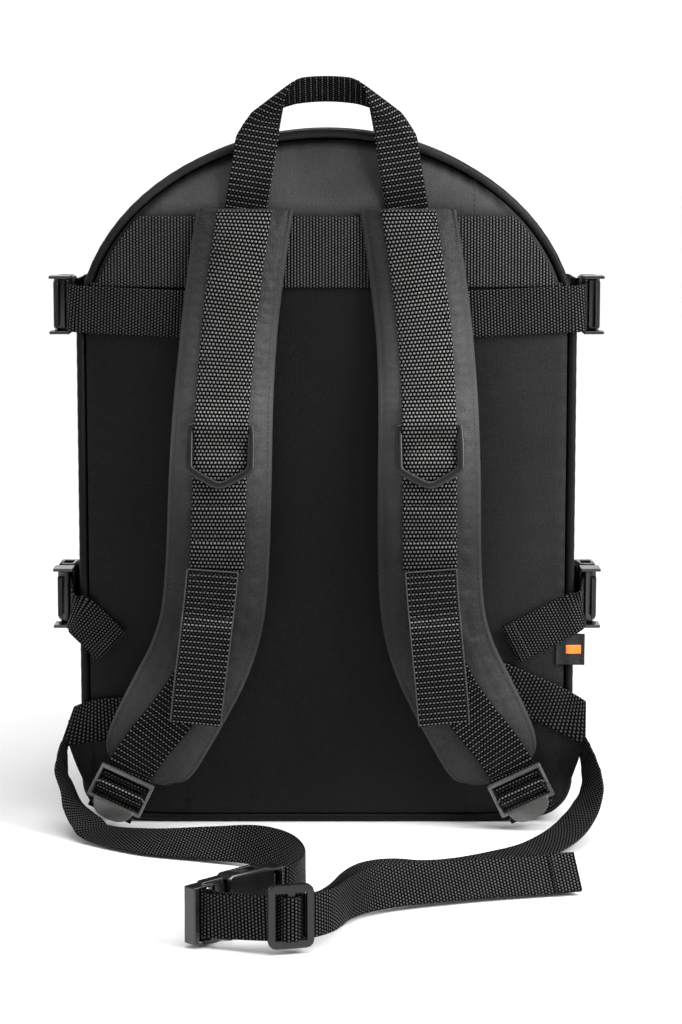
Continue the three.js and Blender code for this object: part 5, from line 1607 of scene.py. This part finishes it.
# Finishes by name: maker, colour and its settings
# Cloth has sheen, gloss and roughness; webbing has gap, rib and shine; plastic has roughness and coat
FINISHES = {
    "body_cloth": (cloth_finish, "cloth", 0.01, 0.12, 0.48),
    "pad_cloth": (cloth_finish, "pad_cloth", 0.03, 0.14, 0.48),
    "wing_cloth": (cloth_finish, "cloth", 0.0, 0.12, 0.36),
    "zip_tape": (cloth_finish, "cloth", 0.05, 0.3, 0.6),
    "tag_cloth": (cloth_finish, "cloth", 0.05, 0.4, 0.45),
    "strap_weave": (webbing_finish, "web_high", 1.0, 0.0, 0.9),
    "rib_weave": (webbing_finish, "web_high", 0.88, 0.8, 1.0),
    "band_weave": (webbing_finish, "belt_high", 0.7, 0.0, 0.6),
    "belt_weave": (webbing_finish, "belt_high", 0.85, 0.0, 0.45),
    "tag_bar": (thread_finish, "tag_bar"),
    "thread": (thread_finish, "thread"),
    "pale_thread": (thread_finish, "pale_thread"),
    "buckle_plastic": (plastic_finish, "gloss", 0.24, 0.4),
    "lock_plastic": (plastic_finish, "lock", 0.22, 0.6),
    "ring_plastic": (plastic_finish, "matte", 0.36, 0.0),
    "zip_plastic": (plastic_finish, "gloss", 0.4, 0.1),
}


def finish(name):
    """A finish by its name, made the first time it is asked for."""
    known = bpy.data.materials.get(name)
    if known:
        return known
    maker, colour, *settings = FINISHES[name]
    return maker(name, getattr(bpy.context.scene.backpack_finish, colour), *settings)


def rounded(obj, edge):
    """Rounds a moulding's sharp edges."""
    bevel = obj.modifiers.new("rounded_edges", "BEVEL")
    bevel.width, bevel.segments = edge, 3
    bevel.limit_method, bevel.angle_limit = "ANGLE", math.radians(35)
    bevel.harden_normals = True


def moulded(name, node, look, edge):
    """Moulding of a node's own shape with its edges rounded."""
    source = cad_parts[node].data
    mesh = bpy.data.meshes.new(name)
    work = bmesh.new()
    work.from_mesh(source)
    bmesh.ops.remove_doubles(work, verts=work.verts, dist=1e-6)
    bmesh.ops.dissolve_limit(work, angle_limit=math.radians(1.0), verts=work.verts, edges=work.edges)
    bmesh.ops.recalc_face_normals(work, faces=work.faces)
    work.to_mesh(mesh)
    work.free()
    mesh.materials.clear()
    mesh.materials.append(finish(look))
    mesh.shade_smooth()
    obj = enlist(bpy.data.objects.new(name, mesh), (node,), "pack")
    rounded(obj, edge)
    return obj


def squash(obj, middle, share):
    """Makes a moulding lower about a height."""
    places = np.empty(len(obj.data.vertices) * 3, np.float32)
    obj.data.vertices.foreach_get("co", places)
    places[2::3] = middle + (places[2::3] - middle) * share
    obj.data.vertices.foreach_set("co", places)
    obj.data.update()


# Operators

class BackpackOperator:
    """Shared options of the operators"""

    bl_options = {"REGISTER", "UNDO"}


class BACKPACK_OT_stage(BackpackOperator, bpy.types.Operator):
    """Add the camera, the pale floor and the soft studio light"""

    bl_idname = "backpack.stage"
    bl_label = "Studio"

    def execute(self, context):
        scene, light = context.scene, context.scene.backpack_light
        camera = bpy.data.cameras.new("camera")
        camera.lens, camera.sensor_width = CAMERA_LENS, CAMERA_SENSOR
        viewer = bpy.data.objects.new("camera", camera)
        viewer.location = CAMERA_PLACE
        viewer.rotation_euler = (CAMERA_PITCH, 0, 0)
        scene.collection.objects.link(viewer)
        scene.camera = viewer
        self.add_floor(scene)
        disk = bpy.data.lights.new("key", "AREA")
        disk.energy, disk.shape, disk.size = light.key, "DISK", light.key_size
        self.add_lamp(scene, disk, KEY_PLACE, KEY_AIM)
        for name, strength, spot in (("fill", light.fill, FILL_FROM), ("top", light.top, TOP_FROM)):
            lamp = bpy.data.lights.new(name, "SUN")
            lamp.energy, lamp.angle = strength, light.spread
            self.add_lamp(scene, lamp, spot, (0, 0, 0))
        self.add_room(scene, light)
        scene.view_settings.view_transform = "Standard"
        return {"FINISHED"}

    def add_lamp(self, scene, lamp, spot, aim):
        """Lamp at a spot that shines towards its aim."""
        holder = bpy.data.objects.new(lamp.name, lamp)
        holder.location = spot
        back = np.subtract(spot, aim)
        tilt = math.acos(back[2] / np.linalg.norm(back))
        holder.rotation_euler = (tilt, 0, math.atan2(back[1], back[0]) + math.pi / 2)
        holder.visible_camera = False
        scene.collection.objects.link(holder)

    def add_room(self, scene, light):
        """World that is white round the horizon and dim overhead."""
        world = bpy.data.worlds.new("room")
        world.use_nodes = True
        tree = world.node_tree
        place, parts = tree.nodes.new("ShaderNodeTexCoord"), tree.nodes.new("ShaderNodeSeparateXYZ")
        tree.links.new(place.outputs["Generated"], parts.inputs[0])
        behind = map_range(tree, parts.outputs["Y"], ROOM_BACK, (ROOM_BACK_SHARE * light.cove, light.cove))
        strength = map_range(tree, parts.outputs["Z"], ROOM_TOP, (light.cove, light.ceiling))
        tree.links.new(behind, strength.node.inputs["To Min"])
        background = tree.nodes["Background"]
        background.inputs["Color"].default_value = (1, 1, 1, 1)
        tree.links.new(strength, background.inputs["Strength"])
        scene.world = world

    def add_floor(self, scene):
        """Broad sheet of studio paper."""
        mesh = bpy.data.meshes.new("floor")
        corners = [(x * FLOOR_REACH, y * FLOOR_REACH, 0) for x, y in ((-1, -1), (1, -1), (1, 1), (-1, 1))]
        mesh.from_pydata(corners, [], [(0, 1, 2, 3)])
        mesh.materials.append(floor_finish(scene.backpack_finish.floor))
        floor = bpy.data.objects.new("floor", mesh)
        scene.collection.objects.link(floor)


class BACKPACK_OT_belt(BackpackOperator, bpy.types.Operator):
    """Lay the waist belt on the floor with its buckle and slider"""

    bl_idname = "backpack.belt"
    bl_label = "Waist belt"

    def execute(self, context):
        tongue, socket = [moulded(f"{half}_moulding", half, "buckle_plastic", BUCKLE_EDGE)
                          for half in ("waist_tongue", "waist_socket")]
        bar = framed_plate(WAIST_CENTRE, unit(np.array(WAIST_ALONG)), -UP, *WAIST_BAR)
        bar = new_piece("waist_tongue_bar", bar, "buckle_plastic")
        rounded(bar, WAIST_BAR_EDGE)
        slider = moulded("belt_slider_moulding", "belt_slider", "ring_plastic", SLIDER_EDGE)
        squash(slider, SLIDER_CENTRE[2] + SLIDER_LEVEL, SLIDER_SQUASH)
        routes = belt_routes()
        for name, rows in routes.items():
            shape, line = woven_strip(rows[:, :3], rows[:, 3:], BELT_WIDTH, True)
            strap = new_piece(f"belt_{name}_strap", shape, "belt_weave", [f"belt_{name}"])
        fold, seam = sewn_fold(routes["tail"][:, :3], routes["tail"][:, 3:], BELT_WIDTH, BELT_FOLD, True)
        new_piece("belt_tail_fold", fold, "belt_weave")
        new_piece("belt_tail_stitching", seam, "thread")
        return {"FINISHED"}


class BACKPACK_OT_body(BackpackOperator, bpy.types.Operator):
    """Sew the padded back, its piping, the side wall and the domed front"""

    bl_idname = "backpack.body"
    bl_label = "Body"

    def execute(self, context):
        back = new_piece("back_panel_cloth", back_panel(), "body_cloth", ["back_panel"])
        new_piece("panel_piping_cord", piping(), "body_cloth", ["panel_piping"])
        new_piece("gusset_cloth", gusset(), "body_cloth", ["gusset"])
        new_piece("front_panel_cloth", front_panel(), "body_cloth", ["front_panel"])
        self.seams()
        return {"FINISHED"}

    def seams(self):
        """Stitched lines along the side wall's two edges."""
        rows = []
        for y in WALL_SEAMS:
            ring = body_ring(gusset_inset(y) - THREAD_OFF, y, 0.0)
            keep = ring[:, 2] > 0.03
            rows.append(stitches(ring[keep], outward(ring)[keep]))
        new_piece("gusset_stitching", joined(rows), "thread")


class BACKPACK_OT_zip(BackpackOperator, bpy.types.Operator):
    """Set the zip with its teeth and slider into the side wall"""

    bl_idname = "backpack.zip"
    bl_label = "Zip"

    def execute(self, context):
        new_piece("zip_tape_cloth", zip_tape(), "zip_tape", ["zip"])
        new_piece("zip_teeth", zip_teeth(), "zip_plastic")
        moulded("zip_slider_moulding", "zip_slider", "ring_plastic", ZIP_SLIDER_EDGE)
        return {"FINISHED"}


class BACKPACK_OT_pads(BackpackOperator, bpy.types.Operator):
    """Stuff and sew the two shoulder pads"""

    bl_idname = "backpack.pads"
    bl_label = "Shoulder pads"

    def execute(self, context):
        shape = shoulder_pad()
        shape = puff_up(shape, context.scene.backpack_sizes.puff)
        for side in SIDES:
            pad = on_side(shape, side, HARNESS_DRIFT)
            pad = new_piece(f"shoulder_pad_{side}_cloth", pad, "pad_cloth", [f"shoulder_pad_{side}"])
            seam = on_side(self.edge_seam(), side, HARNESS_DRIFT)
            new_piece(f"shoulder_pad_{side}_stitching", seam, "thread")
        return {"FINISHED"}

    def edge_seam(self):
        """Stitches in the two edge grooves."""
        point, _, across, out, half, plump = pad_frame(np.linspace(0.005, 0.985, 400))
        groove = bpy.context.scene.backpack_sizes.groove
        rows = []
        for way in (-1, 1):
            height = plump * float(pad_crown(PAD_SEAM)) - groove + 0.0002
            line = point + across * (way * PAD_SEAM * half)[:, None] + out * height[:, None]
            rows.append(stitches(line, out))
        return joined(rows)


class BACKPACK_OT_harness(BackpackOperator, bpy.types.Operator):
    """Add the strap webbing, rings, tabs, ladder locks and adjusting straps"""

    bl_idname = "backpack.harness"
    bl_label = "Harness webbing"

    def execute(self, context):
        tab = over_pad(TAB_LINE, TAB_WIDTH)
        tab_weave = toned(woven_strip(*tab, TAB_WIDTH, "rib")[0], TAB_PAINTED_LIGHT)
        strips = {
            "strap_webbing": (strap_webbing(), "strap_weave", 0.0),
            "strap_tab": (tab_weave, "rib_weave", TAB_SHIFT),
            "lower_webbing": (lower_webbing(), "rib_weave", 0.0),
            "adjust_strap": (adjust_strap(), "rib_weave", 0.0),
        }
        for side in SIDES:
            for part, (shape, look, shift) in strips.items():
                self.fit(side, part, "weave", shape, look, "webbing", shift, True)
            # The tab's pale selvedge cord paints the highlight along its edges
            self.fit(side, "strap_tab", "edge", self.tab_edge(*tab), "pale_thread", "webbing", TAB_SHIFT)
            ring = on_side(d_ring(), side, 0.0, RING_SHIFT)
            new_piece(f"d_ring_{side}_moulding", ring, "ring_plastic", [f"d_ring_{side}"],
                      f"ring_{side}")
            lock = self.fit(side, "ladder_lock", "moulding", ladder_lock(), "lock_plastic", "matte_plastic",
                            stands=True)
            rounded(lock, LADDER_EDGE)
            self.fit(side, "ladder_lock", "grip", ladder_grip(), "lock_plastic", "matte_plastic")
            self.fit(side, "strap_tab", "stitching", self.box_seam(*tab), "pale_thread", "webbing", TAB_SHIFT)
            self.fit(side, "strap_webbing", "stitching", self.strap_seams(), "thread", "webbing")
        return {"FINISHED"}

    def fit(self, side, part, ending, shape, look, slot, shift=0.0, stands=False):
        """Piece of one side's harness, which may stand for its part's node."""
        node = f"{part}_{side}"
        shape = on_side(shape, side, HARNESS_DRIFT, shift)
        return new_piece(f"{node}_{ending}", shape, look, [node] if stands else [])

    def tab_edge(self, rows, across):
        """Corded selvedge up one side of the tab, over its top and down the other."""
        points, over, normals = strip_line(rows, across)
        facing = to_front(normals) * 0.0004
        side = over * (TAB_WIDTH / 2)
        line = np.vstack([(points + facing - side)[::-1], (points + facing + side)])
        line = resample(line, 160)
        along = unit(np.gradient(line, axis=0))
        aside = unit(np.cross(along, AHEAD))
        rings = []
        for angle in np.linspace(0, 2 * math.pi, 8, endpoint=False):
            way = aside * math.cos(angle) + np.cross(aside, along) * math.sin(angle)
            rings.append(line + way * EDGE_CORD)
        return ring_stack(np.stack(rings, axis=1))

    def box_seam(self, rows, across):
        """Box with a cross that sews the tab's top to the pad."""
        points, over, normals = strip_line(rows, across)
        length = arc_lengths(points)
        facing = to_front(normals)

        def spot(down, side):
            at = [np.interp(down, length, v[:, k]) for v in (points, over, facing) for k in range(3)]
            middle, aside, out = np.array(at[:3]), np.array(at[3:6]), np.array(at[6:])
            return middle + aside * side + out * 0.001, out

        top, low, half = TAB_BOX
        corners = [(top, -half), (top, half), (low, half), (low, -half)]
        shapes = []
        for start, end in ((0, 1), (1, 2), (2, 3), (3, 0), (0, 2), (1, 3)):
            (d0, s0), (d1, s1) = corners[start], corners[end]
            spots = [spot(d0 + (d1 - d0) * f, s0 + (s1 - s0) * f) for f in np.linspace(0, 1, 12)]
            shapes.append(stitches(np.array([p for p, _ in spots]), np.array([n for _, n in spots])))
        return joined(shapes)

    def strap_seams(self):
        """Stitches down both edges of the strap webbing, and across it under and over the ring."""
        shapes = []
        shares = np.linspace(pad_share_at(0.43), pad_share_at(STRAP_LOW + 0.02), 300)
        point, _, across, out, half, plump = pad_frame(shares)
        for way in (-1, 1):
            side = way * (STRAP_HALF - STRAP_SEAM)
            height = plump * pad_crown(side / half) + GAP + WEB + THREAD_OFF
            line = point + across * side + out * height[:, None]
            for part in (point[:, 2] > RING_Z + RING_FREE, point[:, 2] < RING_Z - RING_FREE):
                shapes.append(stitches(line[part], out[part]))
        for z, _ in STRAP_TUCKS:
            point, _, across, out, half, plump = (v[0] for v in pad_frame(pad_share_at(z)))
            t = np.linspace(-STRAP_HALF + 0.002, STRAP_HALF - 0.002, 24)
            height = plump * pad_crown(t / half) + GAP + WEB + 0.0002
            line = point + across * t[:, None] + out * height[:, None]
            shapes.append(stitches(line, np.repeat(out[None], len(t), 0)))
        return joined(shapes)


class BACKPACK_OT_top(BackpackOperator, bpy.types.Operator):
    """Sew on the top band and the grab handle"""

    bl_idname = "backpack.top"
    bl_label = "Band and handle"

    def execute(self, context):
        new_piece("top_band_weave", top_band(), "band_weave", ["top_band"])
        new_piece("grab_handle_weave", grab_handle(), "rib_weave", ["grab_handle"])
        self.seams()
        return {"FINISHED"}

    def seams(self):
        """Stitches along the band's edges, and the short darts above it."""
        shapes = []
        for z, reach in BAND_SEAMS:
            x = np.linspace(-reach, reach, 300)
            y = panel_face(x, np.full_like(x, z)) - BAND_OFF - WEB - THREAD_OFF
            shapes.append(stitches(np.stack([x, y, np.full_like(x, z)], 1), np.repeat(AHEAD[None], 300, 0)))
        for x, low, high in DARTS:
            z = np.linspace(low, high, 12)
            y = panel_cloth(np.full_like(z, x), z) - THREAD_OFF
            shapes.append(stitches(np.stack([np.full_like(z, x), y, z], 1), np.repeat(AHEAD[None], 12, 0)))
        new_piece("top_band_stitching", joined(shapes), "thread")


class BACKPACK_OT_side_straps(BackpackOperator, bpy.types.Operator):
    """Thread the compression straps through their buckles"""

    bl_idname = "backpack.side_straps"
    bl_label = "Compression straps"

    def execute(self, context):
        for level in SIDE_STRAPS:
            front = front_strap(level)
            for side in SIDES:
                route = rear_route(level, side)
                rear = on_side(woven_strip(*route, SIDE_WIDTH[level], True)[0], side)
                new_piece(f"{level}_strap_{side}_weave", rear, "belt_weave",
                          [f"{level}_strap_{side}"])
                if level == "lower":
                    fold, seams = sewn_fold(*route, SIDE_WIDTH[level], STRAP_FOLD, False)
                    fold, seams = on_side(fold, side), on_side(seams, side)
                    new_piece(f"lower_strap_{side}_fold", fold, "belt_weave")
                    new_piece(f"lower_strap_{side}_stitching", seams, "thread")
                new_piece(f"{level}_front_strap_{side}_weave", on_side(front, side), "belt_weave",
                          [f"{level}_front_strap_{side}"])
                for half in ("tongue", "socket"):
                    buckle = moulded(f"{level}_{half}_{side}_moulding", f"{level}_{half}_{side}",
                                     "buckle_plastic", BUCKLE_EDGE)
                    squash(buckle, SIDE_STRAPS[level][side][3], BUCKLE_SQUASH[level])
                lips = new_piece(f"{level}_tongue_{side}_lips", on_side(self.lips(level, side), side),
                                 "buckle_plastic")
                rounded(lips, LIPS_EDGE)
        return {"FINISHED"}

    def lips(self, level, side):
        """Flared lips at the upper and lower end of a tongue."""
        middle, half = SIDE_STRAPS[level][side][3], BUCKLE_HALF * BUCKLE_SQUASH[level]
        shapes = []
        for way in (-1, 1):
            centre = (BUCKLE_X + LIPS_PLACE[0], BUCKLE_Y + LIPS_PLACE[1], middle + way * half)
            shapes.append(framed_plate(centre, RIGHT, -AHEAD, LIPS_COLUMNS, LIPS_ROWS, (), LIPS_HALF))
        return joined(shapes)


class BACKPACK_OT_corners(BackpackOperator, bpy.types.Operator):
    """Sew the corner wings, the hip webbing and the side tag"""

    bl_idname = "backpack.corners"
    bl_label = "Corner wings"

    def execute(self, context):
        for side in SIDES:
            new_piece(f"corner_wing_{side}_cloth", corner_wing(side), "wing_cloth",
                      [f"corner_wing_{side}"])
            new_piece(f"hip_webbing_{side}_weave", hip_webbing(side), "belt_weave",
                      [f"hip_webbing_{side}"])
        self.tag()
        return {"FINISHED"}

    def tag(self):
        """Plain folded side tag with one bar."""
        inner, outer, low, high, back = TAG
        x, z = np.meshgrid(np.linspace(inner, outer, 24), np.linspace(low, high, 26), indexing="ij")
        share = (x - inner) / (outer - inner)
        y = back - 0.0004 - 0.0012 * share**2 + 0.0004 * np.sin(9 * share + 60 * (z - low))
        front, behind = np.stack([x, y, z], -1), np.stack([x, y + 0.0007, z], -1)
        new_piece("side_tag_cloth", slab(front, behind), "tag_cloth", ["side_tag"])
        bar = front[TAG_BAR] - (0, 0.00035, 0)
        new_piece("side_tag_bar", slab(bar, bar + (0, 0.0003, 0)), "tag_bar")


class BACKPACK_PT_panel(bpy.types.Panel):
    """Sidebar panel of the backpack"""

    bl_label = "Backpack"
    bl_idname = "BACKPACK_PT_panel"
    bl_space_type = "VIEW_3D"
    bl_region_type = "UI"
    bl_category = "Backpack"

    def draw(self, context):
        column = self.layout.column()
        for maker in OPERATORS:
            column.operator(maker.bl_idname)
        for settings in GROUPS:
            group = getattr(context.scene, settings)
            for key in group.__annotations__:
                column.prop(group, key)


GROUPS = {"backpack_sizes": BackpackSizes, "backpack_finish": BackpackFinish, "backpack_light": BackpackLight}
OPERATORS = (
    BACKPACK_OT_stage, BACKPACK_OT_belt, BACKPACK_OT_body, BACKPACK_OT_zip, BACKPACK_OT_pads,
    BACKPACK_OT_harness, BACKPACK_OT_top, BACKPACK_OT_side_straps, BACKPACK_OT_corners,
)
CLASSES = (*GROUPS.values(), *OPERATORS, BACKPACK_PT_panel)


def register():
    for known in CLASSES:
        bpy.utils.register_class(known)
    for name, group in GROUPS.items():
        setattr(bpy.types.Scene, name, bpy.props.PointerProperty(type=group))


def unregister():
    for name in GROUPS:
        delattr(bpy.types.Scene, name)
    for known in reversed(CLASSES):
        bpy.utils.unregister_class(known)


def main():
    """Builds the whole backpack."""
    register()
    bpy.ops.backpack.stage()
    bpy.ops.backpack.belt()
    bpy.ops.backpack.body()
    bpy.ops.backpack.zip()
    bpy.ops.backpack.pads()
    bpy.ops.backpack.harness()
    bpy.ops.backpack.top()
    bpy.ops.backpack.side_straps()
    bpy.ops.backpack.corners()
    bpy.context.view_layer.update()


if __name__ == "__main__":
    main()
